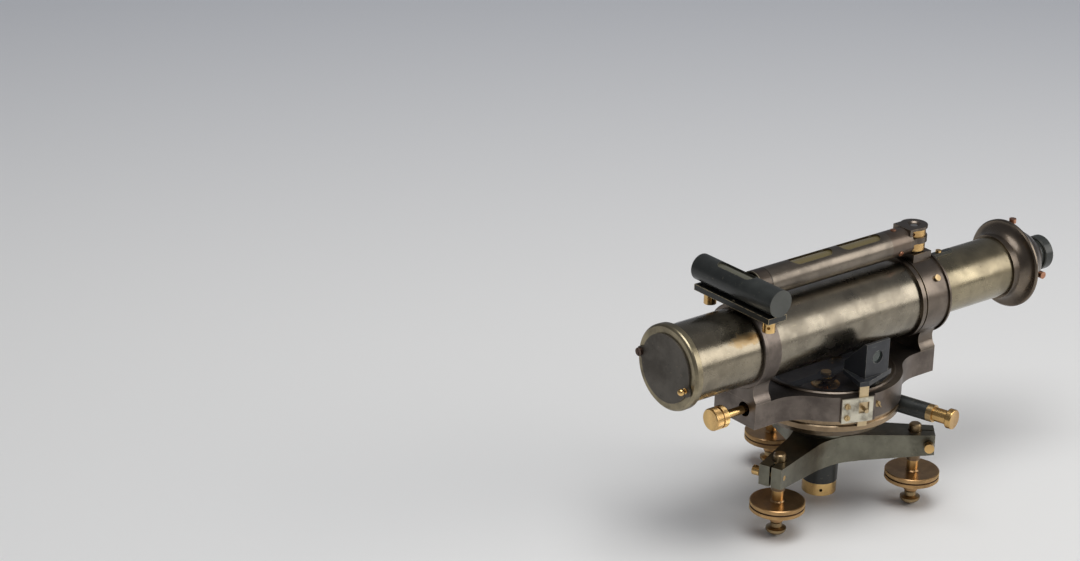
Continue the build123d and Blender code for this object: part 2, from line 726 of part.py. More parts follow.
pivot_tip = CARD_Z + CARD_CAP_BORE_D - RUN
bead_z = POCKET_FLOOR + 3.9
with BuildPart() as compass_pivot:
    with BuildSketch(Plane.XZ):
        with BuildLine():
            Polyline(
                (0, POCKET_FLOOR),
                (PIVOT_FOOT_R, POCKET_FLOOR),
                (PIVOT_FOOT_R, POCKET_FLOOR + 0.4),
            )
            ThreePointArc(
                (PIVOT_FOOT_R, POCKET_FLOOR + 0.4),
                (0.46 * PIVOT_FOOT_R, POCKET_FLOOR + 0.9),
                (PIVOT_R, bead_z - 0.9),
            )
            ThreePointArc((PIVOT_R, bead_z - 0.9), (PIVOT_BEAD_R, bead_z), (PIVOT_R, bead_z + 0.9))
            Polyline(
                (PIVOT_R, bead_z + 0.9),
                (0.9, CARD_Z - 0.6),
                (0.2, pivot_tip),
                (0, pivot_tip),
                (0, POCKET_FLOOR),
            )
        make_face()
    revolve(axis=Axis.Z)
keep(compass_pivot, "compass_pivot")

with BuildPart() as compass_card:
    with BuildSketch(Plane.XY.offset(CARD_Z)):
        Circle(CARD_R)
        Circle(CARD_R - CARD_RING_W, mode=Mode.SUBTRACT)
        Rectangle(2 * CARD_R - CARD_RING_W, 6)
        Circle(5.5)
    extrude(amount=CARD_T)
    with BuildSketch(Plane.XY.offset(CARD_Z)):
        Circle(3.4)
    extrude(amount=2.2)
    with BuildSketch(Plane.XY.offset(CARD_Z)) as cap_bore:
        Circle(1.5)
    extrude(cap_bore.sketch, amount=CARD_CAP_BORE_D, mode=Mode.SUBTRACT)
keep(compass_card, "compass_card")

lifter_bottom = CARD_Z - LIFTER_RISE - GAP - LIFTER_T
lifter_tail = LIFTER_ROD_END - 1.0
with BuildPart() as lifter_ring:
    with BuildSketch(Plane.XY.offset(lifter_bottom)):
        with BuildLine() as tail_line:
            Spline(
                (1.5 - LIFTER_R, -1.0),
                (-0.45 * lifter_tail, 3.4),
                (-0.75 * lifter_tail, -6.0),
                (-lifter_tail, LIFTER_Y + 2.6),
            )
        trace(tail_line.line, line_width=LIFTER_TAIL_W)
        Circle(LIFTER_R)
        Circle(LIFTER_R - LIFTER_RING_W, mode=Mode.SUBTRACT)
    extrude(amount=LIFTER_T)
keep(lifter_ring, "lifter_ring")

with BuildPart() as lifter_screw:
    with BuildSketch(lifter_plane.offset(LIFTER_ROD_END - STAGE_HALF_LENGTH)):
        Circle(LIFTER_ROD_R)
    extrude(amount=LIFTER_KNOB_FACE - LIFTER_KNOB_T - LIFTER_ROD_END)
    lifter_axis = Axis((0, LIFTER_Y, LIFTER_Z), (1, 0, 0))
    lifter_section = Plane(origin=(0, LIFTER_Y, LIFTER_Z), x_dir=(-1, 0, 0), z_dir=(0, 1, 0))
    groove_middle = LIFTER_KNOB_FACE - LIFTER_KNOB_T * 0.55
    revolve(
        outline_face(
            lifter_section,
            [
                (LIFTER_KNOB_FACE - LIFTER_KNOB_T, 0),
                (LIFTER_KNOB_FACE - LIFTER_KNOB_T, LIFTER_KNOB_R - 0.5),
                (LIFTER_KNOB_FACE - LIFTER_KNOB_T + 0.5, LIFTER_KNOB_R),
                (groove_middle - 0.5, LIFTER_KNOB_R),
                (groove_middle - 0.5, LIFTER_KNOB_R - 0.7),
                (groove_middle + 0.5, LIFTER_KNOB_R - 0.7),
                (groove_middle + 0.5, LIFTER_KNOB_R),
                (LIFTER_KNOB_FACE - 0.5, LIFTER_KNOB_R),
                (LIFTER_KNOB_FACE, LIFTER_KNOB_R - 0.5),
                (LIFTER_KNOB_FACE, 0),
            ],
        ),
        axis=lifter_axis,
    )
keep(lifter_screw, "lifter_screw")

# Silvered guide plate, slide and prism
guide_window_w = GUIDE_STRIP_W + 0.6
guide_window_h = GUIDE_PLATE_H * 0.46
guide_window_shift = 1.4
with BuildPart() as prism_guide:
    with BuildSketch(guide_plane):
        with Locations((GUIDE_PLATE_SHIFT, 0)):
            Rectangle(GUIDE_PLATE_W, GUIDE_PLATE_H)
        with Locations((GUIDE_STRIP_SHIFT, guide_window_shift)):
            Rectangle(guide_window_w, guide_window_h, mode=Mode.SUBTRACT)
        for screw_x, screw_z in ((-7.2, 3.6), (-7.2, -4.4)):
            with Locations((screw_x + GUIDE_PLATE_SHIFT, screw_z)):
                Circle(1.1, mode=Mode.SUBTRACT)
    extrude(amount=GUIDE_PLATE_T)
keep(prism_guide, "prism_guide")

strip_middle = (GUIDE_STRIP_TOP + GUIDE_STRIP_BOTTOM) / 2 - guide_plane.origin.Z
with BuildPart() as prism_slide:
    with BuildSketch(guide_plane.offset(-RUN - GUIDE_STRIP_T)):
        with Locations((GUIDE_STRIP_SHIFT, strip_middle)):
            Rectangle(GUIDE_STRIP_W, GUIDE_STRIP_TOP - GUIDE_STRIP_BOTTOM)
    extrude(amount=GUIDE_STRIP_T)
    with BuildSketch(guide_plane.offset(-RUN)):
        with Locations((GUIDE_STRIP_SHIFT, guide_window_shift - 0.8)):
            Circle(1.3)
    extrude(amount=GUIDE_PLATE_T + 4.2)
keep(prism_slide, "prism_slide")

prism_side = Plane(origin=(-PRISM_BOX_HALF, 0, 0), x_dir=(0, 1, 0), z_dir=(1, 0, 0))
prism_floor = PRISM_BASE_Z + PRISM_BASE_T
prism_outline = [
    (PRISM_FRONT_Y, prism_floor),
    (PRISM_FRONT_Y, PRISM_TOP_Z),
    (PRISM_FRONT_Y + 2, PRISM_TOP_Z),
    (PRISM_BACK_Y, PRISM_TOP_Z - (PRISM_BACK_Y - PRISM_FRONT_Y - 2)),
    (PRISM_BACK_Y, prism_floor),
]
base_face = guide_plane.offset(-RUN)
base_corner = base_face.from_local_coords((GUIDE_STRIP_SHIFT - GUIDE_STRIP_W / 2, 0, 0))
base_nose = base_face.from_local_coords((GUIDE_STRIP_SHIFT + GUIDE_STRIP_W / 2, 0, 0))
base_turn = radians(PRISM_BASE_ANGLE)
base_tip = (base_nose.X + PRISM_BASE_L * cos(base_turn), base_nose.Y + PRISM_BASE_L * sin(base_turn))
with BuildPart() as prism_box:
    extrude(outline_face(prism_side, prism_outline), amount=2 * PRISM_BOX_HALF)
    prism_floor_face = prism_box.faces().sort_by(Axis.Z)[0]
    offset(amount=-PRISM_BOX_WALL, openings=prism_floor_face)
    with BuildSketch(Plane.XY.offset(PRISM_BASE_Z)):
        with BuildLine():
            Polyline(
                (base_corner.X, base_corner.Y),
                (base_nose.X, base_nose.Y),
                base_tip,
                (PRISM_BOX_HALF + 0.4, PRISM_BACK_Y),
                (-PRISM_BOX_HALF - 0.4, PRISM_BACK_Y),
                close=True,
            )
        make_face()
        light_way = (PRISM_FRONT_Y + PRISM_BACK_Y) / 2
        with Locations((0, light_way)):
            Rectangle(
                2 * (PRISM_BOX_HALF - PRISM_BOX_WALL),
                PRISM_BACK_Y - PRISM_FRONT_Y - 2 * PRISM_BOX_WALL,
                mode=Mode.SUBTRACT,
            )
    extrude(amount=PRISM_BASE_T)
    with BuildSketch(Plane(origin=(0, PRISM_FRONT_Y, PRISM_SIGHT_Z), x_dir=(1, 0, 0), z_dir=(0, -1, 0))):
        Circle(PRISM_SIGHT_R)
    extrude(amount=-PRISM_BOX_WALL - 1, mode=Mode.SUBTRACT)
keep(prism_box, "prism_box")

prism_leg = PRISM_BACK_Y - PRISM_FRONT_Y - 2 * PRISM_BOX_WALL - 3.2
prism_front = PRISM_FRONT_Y + PRISM_BOX_WALL
prism_low = PRISM_SIGHT_Z - prism_leg / 2
with BuildPart() as prism_glass:
    extrude(
        outline_face(
            prism_side.offset(PRISM_BOX_WALL + 0.1),
            [(prism_front, prism_low), (prism_front, prism_low + prism_leg), (prism_front + prism_leg, prism_low)],
        ),
        amount=2 * (PRISM_BOX_HALF - PRISM_BOX_WALL - 0.1),
    )
keep(prism_glass, "prism_glass")


def pedestal(plane, ring_r, depth):
    """Add a waisted pedestal between the stage and a collar ring, extruded from plane."""
    foot_z = STAGE_TOP - AXIS_Z
    shoulder = STAGE_HALF_WIDTH + 0.6
    shoulder_z = -sqrt(ring_r**2 - shoulder**2)
    with BuildSketch(plane) as section:
        with BuildLine():
            Line((-STAGE_HALF_WIDTH, foot_z), (STAGE_HALF_WIDTH, foot_z))
            Line((STAGE_HALF_WIDTH, foot_z), (STAGE_HALF_WIDTH, foot_z + 1.5))
            ThreePointArc(
                (STAGE_HALF_WIDTH, foot_z + 1.5),
                (PEDESTAL_WAIST, (foot_z + 1.5 + shoulder_z) / 2),
                (shoulder, shoulder_z),
            )
            Line((shoulder, shoulder_z), (-shoulder, shoulder_z))
            ThreePointArc(
                (-shoulder, shoulder_z),
                (-PEDESTAL_WAIST, (foot_z + 1.5 + shoulder_z) / 2),
                (-STAGE_HALF_WIDTH, foot_z + 1.5),
            )
            Line((-STAGE_HALF_WIDTH, foot_z + 1.5), (-STAGE_HALF_WIDTH, foot_z))
        make_face()
    extrude(section.sketch, amount=depth)


def station_plane(x):
    """Return the plane across the telescope at a station, its normal along +X."""
    return Plane(origin=(x, 0, AXIS_Z), x_dir=(0, 1, 0), z_dir=(1, 0, 0))


# Collars that carry the telescope on the stage
cross_plate_bottom = CROSS_PLATE_TOP - CROSS_PLATE_T
with BuildPart() as front_collar:
    pedestal(station_plane(-STAGE_HALF_LENGTH), FRONT_BAND_R, PEDESTAL_L)
    with BuildSketch(station_plane(FRONT_COLLAR_X)) as top_lug:
        with Locations((0, (FRONT_BAND_R - 6 + cross_plate_bottom - AXIS_Z) / 2)):
            Rectangle(20, cross_plate_bottom - AXIS_Z - FRONT_BAND_R + 6)
    extrude(top_lug.sketch, amount=FRONT_COLLAR_L)
    with BuildSketch(Plane.XY.offset(AXIS_Z + FRONT_BAND_R - 4)) as hinge_lug:
        with Locations(((FRONT_COLLAR_X + FRONT_COLLAR_L + HINGE_X + 4) / 2, 0)):
            Rectangle(HINGE_X + 4 - FRONT_COLLAR_X - FRONT_COLLAR_L + 6, 12)
    extrude(hinge_lug.sketch, amount=cross_plate_bottom - AXIS_Z - FRONT_BAND_R + 4)
    revolve(
        outline_face(
            OPTIC,
            [
                (FRONT_COLLAR_X, 1),
                (FRONT_COLLAR_X, FRONT_FLANGE_R - 0.5),
                (FRONT_COLLAR_X + 0.5, FRONT_FLANGE_R),
                (FRONT_COLLAR_X + FRONT_FLANGE_T, FRONT_FLANGE_R),
                (FRONT_COLLAR_X + FRONT_FLANGE_T + 0.8, FRONT_BAND_R),
                (FRONT_COLLAR_X + FRONT_COLLAR_L, FRONT_BAND_R),
                (FRONT_COLLAR_X + FRONT_COLLAR_L, 1),
            ],
        ),
        axis=OPTIC_AXIS,
    )
    with BuildSketch(station_plane(FRONT_COLLAR_X - 1)) as front_bore:
        Circle(BARREL_R)
    extrude(front_bore.sketch, amount=60, mode=Mode.SUBTRACT)
keep(front_collar, "front_collar")

rear_lug_top = EYE_BOTTOM - NUT_T - NUT_TRAVEL
rear_end = REAR_COLLAR_X + REAR_COLLAR_L
rear_guide = rear_end - REAR_FLANGE_T - 1.2
with BuildPart() as rear_collar:
    pedestal(station_plane(STAGE_HALF_LENGTH - PEDESTAL_L), REAR_BAND_R, PEDESTAL_L)
    with BuildSketch(station_plane(STAGE_HALF_LENGTH - PEDESTAL_L - REAR_LUG_LAP)) as rear_lug:
        with Locations((0, (REAR_BAND_R - 6 + rear_lug_top - AXIS_Z) / 2)):
            Rectangle(REAR_LUG_W, rear_lug_top - AXIS_Z - REAR_BAND_R + 6)
    extrude(rear_lug.sketch, amount=PEDESTAL_L + REAR_LUG_LAP)
    revolve(
        outline_face(
            OPTIC,
            [
                (REAR_COLLAR_X, 1),
                (REAR_COLLAR_X, REAR_BAND_R),
                (REAR_COLLAR_X + 3, REAR_BAND_R),
                (REAR_COLLAR_X + 3, REAR_GROOVE_R),
                (REAR_COLLAR_X + 4.2, REAR_GROOVE_R),
                (REAR_COLLAR_X + 4.2, REAR_BAND_R),
                (rear_end - REAR_FLANGE_T, REAR_BAND_R),
                (rear_end - REAR_FLANGE_T, REAR_FLANGE_R),
                (rear_end - 0.5, REAR_FLANGE_R),
                (rear_end, REAR_FLANGE_R - 0.5),
                (rear_end, 1),
            ],
        ),
        axis=OPTIC_AXIS,
    )
    with BuildSketch(station_plane(rear_guide)) as rear_bore:
        Circle(BARREL_R)
    extrude(rear_bore.sketch, amount=-60, mode=Mode.SUBTRACT)
    with BuildSketch(station_plane(rear_guide - 1)) as guide_bore:
        Circle(DRAW_R + RUN)
    extrude(guide_bore.sketch, amount=20, mode=Mode.SUBTRACT)
    with BuildSketch(station_plane(rear_guide - 1)) as rack_slot:
        with Locations((0, -DRAW_R - 1)):
            Rectangle(RACK_W + 2 * EASY, 8)
    extrude(rack_slot.sketch, amount=20, mode=Mode.SUBTRACT)
    with BuildSketch(station_plane(rear_guide - 1)) as keyway:
        with Locations((0, (DRAW_R + KEY_TOP + RUN) / 2 - 1)):
            Rectangle(KEY_W + 2 * RUN, KEY_TOP + RUN - DRAW_R + 2)
    extrude(keyway.sketch, amount=20, mode=Mode.SUBTRACT)
    with BuildSketch(Plane.XY.offset(rear_lug_top)) as stud_seat:
        with Locations((STUD_X, 0)):
            Circle(STUD_R)
    extrude(stud_seat.sketch, amount=-STUD_SEAT_D, mode=Mode.SUBTRACT)
keep(rear_collar, "rear_collar")

# Rack and pinion: the pitch line lies just outside the draw tube
pitch_r = PINION_MODULE * PINION_TEETH / 2
rack_pitch = pi * PINION_MODULE
tooth_height = PINION_MODULE
rack_line = DRAW_R + RACK_BASE_T + 1.25 * PINION_MODULE
pinion_z = AXIS_Z - rack_line - pitch_r
tooth_slope = tan(radians(20))
half_tooth = rack_pitch / 4 * (1 - PINION_PLAY)

barrel_inner = BARREL_R - BARREL_WALL
with BuildPart() as main_barrel:
    with BuildSketch(station_plane(FRONT_COLLAR_X + 2)):
        Circle(BARREL_R)
        Circle(barrel_inner, mode=Mode.SUBTRACT)
    extrude(amount=rear_guide - FRONT_COLLAR_X - 2)
    with BuildSketch(Plane.XY.offset(pinion_z)) as pinion_window:
        with Locations((PINION_X, 0)):
            Rectangle(2 * pitch_r + 4, 12)
    extrude(pinion_window.sketch, amount=12, mode=Mode.SUBTRACT)
keep(main_barrel, "main_barrel")

with BuildPart() as draw_tube:
    revolve(
        outline_face(OPTIC, tube_section(DRAW_FRONT_X, DRAW_BACK_X, DRAW_R - DRAW_WALL, DRAW_R)),
        axis=OPTIC_AXIS,
    )
    guide_section = tube_section(
        DRAW_FRONT_X, DRAW_FRONT_X + DRAW_GUIDE_L, DRAW_R - DRAW_WALL, barrel_inner - RUN
    )
    revolve(outline_face(OPTIC, guide_section), axis=OPTIC_AXIS)
    with BuildSketch(station_plane(RACK_X)) as rack_bar:
        with Locations((0, -DRAW_R - RACK_BASE_T / 2 + 0.3)):
            Rectangle(RACK_W, RACK_BASE_T + 0.6)
    extrude(rack_bar.sketch, amount=RACK_L)
    tooth_count = int(RACK_L / rack_pitch)
    first_tooth = PINION_X - rack_pitch * (int((PINION_X - RACK_X) / rack_pitch) + 0.5) + rack_pitch
    with BuildSketch(Plane(origin=(0, RACK_W / 2, AXIS_Z), x_dir=(1, 0, 0), z_dir=(0, -1, 0))) as rack_teeth:
        for tooth in range(tooth_count - 1):
            centre = first_tooth + tooth * rack_pitch
            root = half_tooth + tooth_slope * 1.25 * PINION_MODULE
            tip = half_tooth - tooth_slope * tooth_height
            with BuildLine():
                Polyline(
                    (centre - root, -rack_line + 1.25 * PINION_MODULE + 0.05),
                    (centre + root, -rack_line + 1.25 * PINION_MODULE + 0.05),
                    (centre + tip, -rack_line - tooth_height),
                    (centre - tip, -rack_line - tooth_height),
                    close=True,
                )
            make_face()
    extrude(rack_teeth.sketch, amount=RACK_W)
keep(draw_tube, "draw_tube")

with BuildPart() as focus_pinion:
    pinion_plane = Plane(origin=(PINION_X, -RACK_W / 2, pinion_z), x_dir=(1, 0, 0), z_dir=(0, 1, 0))
    root_r = pitch_r - 1.25 * PINION_MODULE
    tip_r = pitch_r + PINION_MODULE * 0.9
    with BuildSketch(pinion_plane):
        Circle(root_r + 0.1)
        for tooth in range(PINION_TEETH):
            turn = 90 + tooth * 360 / PINION_TEETH
            half_root = degrees((half_tooth + 0.20 * PINION_MODULE) / pitch_r)
            half_pitch = degrees(half_tooth / pitch_r)
            half_tip = degrees((half_tooth - 0.42 * PINION_MODULE) / pitch_r)
            with BuildLine():
                Polyline(
                    polar(root_r, turn - half_root),
                    polar(pitch_r, turn - half_pitch),
                    polar(tip_r, turn - half_tip),
                    polar(tip_r, turn + half_tip),
                    polar(pitch_r, turn + half_pitch),
                    polar(root_r, turn + half_root),
                    close=True,
                )
            make_face()
    extrude(amount=RACK_W)
    with BuildSketch(pinion_plane.offset(-4)):
        Circle(PINION_SHAFT_R)
    extrude(amount=PINION_KNOB_Y + RACK_W / 2 + 4 + PINION_KNOB_T - 1)
keep(focus_pinion, "focus_pinion")

with BuildPart() as focus_knob:
    knob_plane = Plane(origin=(PINION_X, PINION_KNOB_Y, pinion_z), x_dir=(1, 0, 0), z_dir=(0, 1, 0))
    with BuildSketch(knob_plane):
        Circle(PINION_KNOB_R)
        Circle(PINION_SHAFT_R, mode=Mode.SUBTRACT)
    extrude(amount=PINION_KNOB_T - 1)
    with BuildSketch(knob_plane.offset(PINION_KNOB_T - 1)):
        Circle(PINION_KNOB_R)
    extrude(amount=1)
    focus_rims = focus_knob.edges().filter_by(GeomType.CIRCLE).filter_by(
        lambda edge: edge.radius > PINION_KNOB_R - 0.1
    ).group_by(Axis.Y)
    chamfer(focus_rims[0] + focus_rims[-1], length=0.6)
keep(focus_knob, "focus_knob")

box_half = pitch_r + 3.5
box_bottom = pinion_z - pitch_r - PINION_MODULE - 0.3 - 0.9
with BuildPart() as pinion_box:
    with BuildSketch(Plane.XY.offset(box_bottom)):
        with Locations((PINION_X, 0)):
            Rectangle(2 * box_half, PINION_BOX_W)
    extrude(amount=AXIS_Z - BARREL_R - box_bottom + 3)
    with BuildSketch(Plane.XY.offset(box_bottom + 0.9)) as box_hollow:
        with Locations((PINION_X, 0)):
            Rectangle(2 * pitch_r + 2.4, RACK_W + 1)
    extrude(box_hollow.sketch, amount=20, mode=Mode.SUBTRACT)
    with BuildSketch(pinion_plane) as shaft_bore:
        Circle(PINION_SHAFT_R + RUN)
    extrude(shaft_bore.sketch, amount=30, both=True, mode=Mode.SUBTRACT)
    with BuildSketch(station_plane(0)) as barrel_seat:
        Circle(BARREL_R)
    extrude(barrel_seat.sketch, amount=80, mode=Mode.SUBTRACT)
keep(pinion_box, "pinion_box")

# Object glass in its cell, the sliding ray shade and the swinging shutter
cell_r = barrel_inner
with BuildPart() as objective_cell:
    revolve(
        outline_face(
            OPTIC,
            [
                (CELL_FRONT_X, LENS_R - 1.0),
                (CELL_FRONT_X, cell_r),
                (CELL_BACK_X, cell_r),
                (CELL_BACK_X, cell_r - CELL_WALL),
                (CELL_FRONT_X + 16, cell_r - CELL_WALL),
                (CELL_FRONT_X + 16, LENS_R - 1.5),
                (CELL_FRONT_X + 1.6 + LENS_T, LENS_R - 1.5),
                (CELL_FRONT_X + 1.6 + LENS_T, LENS_R),
                (CELL_FRONT_X + 1.6, LENS_R),
                (CELL_FRONT_X + 1.6, LENS_R - 1.0),
            ],
        ),
        axis=OPTIC_AXIS,
    )
keep(objective_cell, "objective_cell")

lens_front = CELL_FRONT_X + 1.6
with BuildPart() as objective_lens:
    with BuildSketch(OPTIC):
        with BuildLine():
            ThreePointArc((lens_front + 1.0, 0), (lens_front + 1.3, LENS_R / 2), (lens_front + 2.2, LENS_R))
            Line((lens_front + 2.2, LENS_R), (lens_front + LENS_T, LENS_R))
            Line((lens_front + LENS_T, LENS_R), (lens_front + LENS_T, 0))
            Line((lens_front + LENS_T, 0), (lens_front + 1.0, 0))
        make_face()
    revolve(axis=OPTIC_AXIS)
keep(objective_lens, "objective_lens")

shade_inner = cell_r + RUN
shade_outer = shade_inner + SHADE_WALL
shade_back = FRONT_COLLAR_X - GAP
with BuildPart() as ray_shade:
    revolve(
        outline_face(
            OPTIC,
            [
                (SHADE_FRONT_X, shade_inner),
                (shade_back, shade_inner),
                (shade_back, shade_outer),
                (SHADE_FRONT_X + 4.4, shade_outer),
                (SHADE_FRONT_X + 4.4, shade_outer + 0.25),
                (SHADE_FRONT_X, shade_outer + 0.25),
            ],
        ),
        axis=OPTIC_AXIS,
    )
keep(ray_shade, "ray_shade")

shade_ring_back = SHADE_RING_FRONT_X + SHADE_RING_L
with BuildPart() as shade_ring:
    revolve(
        outline_face(
            OPTIC,
            [
                (SHADE_RING_FRONT_X, SHADE_APERTURE_R),
                (SHADE_RING_FRONT_X, SHADE_RING_R - 1.4),
                (SHADE_RING_FRONT_X + 1.0, SHADE_RING_R - 0.3),
                (SHADE_RING_FRONT_X + 2.0, SHADE_RING_R),
                (shade_ring_back - 0.8, SHADE_RING_R),
                (shade_ring_back, SHADE_RING_R - 0.8),
                (shade_ring_back, shade_outer + 0.25),
                (SHADE_FRONT_X, shade_outer + 0.25),
                (SHADE_FRONT_X, SHADE_APERTURE_R),
            ],
        ),
        axis=OPTIC_AXIS,
    )
    with BuildSketch(station_plane(SHADE_RING_FRONT_X)) as pivot_hole:
        with Locations((SHUTTER_PIVOT_Y, SHUTTER_PIVOT_Z)):
            Circle(SHUTTER_SHANK_R)
    extrude(pivot_hole.sketch, amount=3, mode=Mode.SUBTRACT)
keep(shade_ring, "shade_ring")

shutter_back = SHADE_RING_FRONT_X - 0.1
shutter_tail = (3.0 - SHUTTER_PIVOT_Y, -SHUTTER_PIVOT_Z - 5.2)
with BuildPart() as shutter:
    with BuildSketch(station_plane(shutter_back - SHUTTER_T)) as shutter_sketch:
        Circle(SHUTTER_R)
        with Locations((SHUTTER_PIVOT_Y, SHUTTER_PIVOT_Z), shutter_tail):
            Circle(SHUTTER_EAR_R)
        fillet(shutter_sketch.vertices(), radius=2.0)
        with Locations((SHUTTER_PIVOT_Y, SHUTTER_PIVOT_Z)):
            Circle(SHUTTER_SHANK_R + RUN, mode=Mode.SUBTRACT)
    extrude(amount=SHUTTER_T)
    knob_centre = (4.4 - SHUTTER_PIVOT_Y, -SHUTTER_PIVOT_Z - 4.9)
    knob_face = shutter_back - SHUTTER_T
    knob_origin = (knob_face, knob_centre[0], AXIS_Z + knob_centre[1])
    ball_start = 3.0 - sqrt(SHUTTER_BALL_R**2 - SHUTTER_NECK_R**2)
    with BuildSketch(Plane(origin=knob_origin, x_dir=(-1, 0, 0), z_dir=(0, 1, 0))) as knob_section:
        with BuildLine():
            Polyline((-0.4, 0), (-0.4, SHUTTER_NECK_R), (ball_start, SHUTTER_NECK_R))
            ThreePointArc((ball_start, SHUTTER_NECK_R), (3.0, SHUTTER_BALL_R), (3.0 + SHUTTER_BALL_R, 0))
            Line((3.0 + SHUTTER_BALL_R, 0), (-0.4, 0))
        make_face()
    revolve(knob_section.sketch, axis=Axis(knob_origin, (-1, 0, 0)))
keep(shutter, "shutter")

with BuildPart() as shutter_pivot:
    with BuildSketch(station_plane(SHADE_RING_FRONT_X + 3)):
        with Locations((SHUTTER_PIVOT_Y, SHUTTER_PIVOT_Z)):
            Circle(SHUTTER_SHANK_R)
    extrude(amount=-(3 + SHUTTER_T + 0.3))
    with BuildSketch(station_plane(shutter_back - SHUTTER_T - 0.1)):
        with Locations((SHUTTER_PIVOT_Y, SHUTTER_PIVOT_Z)):
            Circle(2.7)
    extrude(amount=-2.0)
    with BuildSketch(station_plane(shutter_back - SHUTTER_T - 2.1)) as driver_slot:
        with Locations((SHUTTER_PIVOT_Y, SHUTTER_PIVOT_Z)):
            Rectangle(0.7, 8, rotation=-25)
    extrude(driver_slot.sketch, amount=0.9, mode=Mode.SUBTRACT)
keep(shutter_pivot, "shutter_pivot")

# Eye end on the draw tube
disc_back = HEAD_DISC_X + HEAD_DISC_T
with BuildPart() as eye_head:
    with BuildSketch(OPTIC):
        with BuildLine():
            Polyline(
                (DRAW_BACK_X, EYEPIECE_R - 1.8 + RUN),
                (DRAW_BACK_X, DRAW_R),
                (HEAD_SLEEVE_X, DRAW_R),
                (HEAD_SLEEVE_X, HEAD_SLEEVE_R),
                (HEAD_SLEEVE_X + 5.0, HEAD_SLEEVE_R),
                (HEAD_SLEEVE_X + 5.4, HEAD_SLEEVE_R - 0.5),
            )
            ThreePointArc(
                (HEAD_SLEEVE_X + 5.4, HEAD_SLEEVE_R - 0.5),
                (HEAD_DISC_X - 2.0, HEAD_SLEEVE_R + 2.4),
                (HEAD_DISC_X, HEAD_DISC_R - 0.8),
            )
            Polyline(
                (HEAD_DISC_X, HEAD_DISC_R - 0.8),
                (HEAD_DISC_X + 0.8, HEAD_DISC_R),
                (disc_back - 0.5, HEAD_DISC_R),
                (disc_back, HEAD_DISC_R - 0.5),
                (disc_back, HEAD_DISC_R - 2.2),
                (disc_back + 2.2, HEAD_DISC_R - 2.6),
                (disc_back + 4.6, HEAD_DISC_R - 4.4),
                (disc_back + 4.6, HEAD_DISC_R - 7.0),
                (disc_back + 7.0, HEAD_DISC_R - 7.4),
            )
            ThreePointArc(
                (disc_back + 7.0, HEAD_DISC_R - 7.4),
                (disc_back + 14.0, EYEPIECE_R + 7.6),
                (disc_back + 20.5, EYEPIECE_R + 1.6),
            )
            Polyline(
                (disc_back + 20.5, EYEPIECE_R + 1.6),
                (disc_back + 22.5, EYEPIECE_R + 0.6),
                (disc_back + 22.5, EYEPIECE_R - 1.8 + RUN),
                (DRAW_BACK_X, EYEPIECE_R - 1.8 + RUN),
            )
        make_face()
    revolve(axis=OPTIC_AXIS)
    for turn in range(4):
        screw_angle = radians(90 * turn)
        direction = (0, sin(screw_angle), cos(screw_angle))
        seat = Plane(origin=(disc_back + 3.6, 0, AXIS_Z), z_dir=direction, x_dir=(1, 0, 0))
        with BuildSketch(seat.offset(EYEPIECE_R - 3)) as diaphragm_hole:
            Circle(1.2)
        extrude(diaphragm_hole.sketch, amount=HEAD_DISC_R, mode=Mode.SUBTRACT)
keep(eye_head, "eye_head")

with BuildPart() as diaphragm_screws:
    for turn in range(4):
        screw_angle = radians(90 * turn)
        direction = (0, sin(screw_angle), cos(screw_angle))
        seat = Plane(origin=(disc_back + 3.6, 0, AXIS_Z), z_dir=direction, x_dir=(1, 0, 0))
        with BuildSketch(seat.offset(EYEPIECE_R - 1.2)):
            Circle(1.2)
        extrude(amount=HEAD_DISC_R - EYEPIECE_R)
        with BuildSketch(seat.offset(HEAD_DISC_R - 2.1)):
            Circle(2.4)
        extrude(amount=2.9)
keep(diaphragm_screws, "diaphragm_screws")

with BuildPart() as reticle:
    with BuildSketch(station_plane(DRAW_BACK_X - 4)):
        Circle(DRAW_R - DRAW_WALL)
        Circle(9, mode=Mode.SUBTRACT)
        Rectangle(0.3, 2 * DRAW_R - 2 * DRAW_WALL - 1)
        Rectangle(2 * DRAW_R - 2 * DRAW_WALL - 1, 0.3)
    extrude(amount=4)
keep(reticle, "reticle")

head_end = disc_back + 22.5
eyepiece_tube_r = EYEPIECE_R - 1.8
with BuildPart() as eyepiece:
    revolve(
        outline_face(
            OPTIC,
            [
                (head_end - EYEPIECE_TUBE_L, eyepiece_tube_r - 1.2),
                (head_end - EYEPIECE_TUBE_L, eyepiece_tube_r),
                (head_end + 4.6, eyepiece_tube_r),
                (head_end + 4.6, EYEPIECE_R - 0.6),
                (head_end + 5.2, EYEPIECE_R),
                (EYEPIECE_END_X - 0.7, EYEPIECE_R),
                (EYEPIECE_END_X, EYEPIECE_R - 0.7),
                (EYEPIECE_END_X, EYEPIECE_R - 1.8),
                (EYEPIECE_END_X - 3.6, 3.4),
                (EYEPIECE_END_X - 5.0, 3.4),
                (EYEPIECE_END_X - 5.0, eyepiece_tube_r - 1.2),
            ],
        ),
        axis=OPTIC_AXIS,
    )
keep(eyepiece, "eyepiece")

with BuildPart() as eyepiece_lens:
    for lens_x in (EYEPIECE_END_X - 8.0, head_end - EYEPIECE_TUBE_L + 2):
        with BuildSketch(station_plane(lens_x)):
            Circle(eyepiece_tube_r - 1.2)
        extrude(amount=3)
keep(eyepiece_lens, "eyepiece_lens")

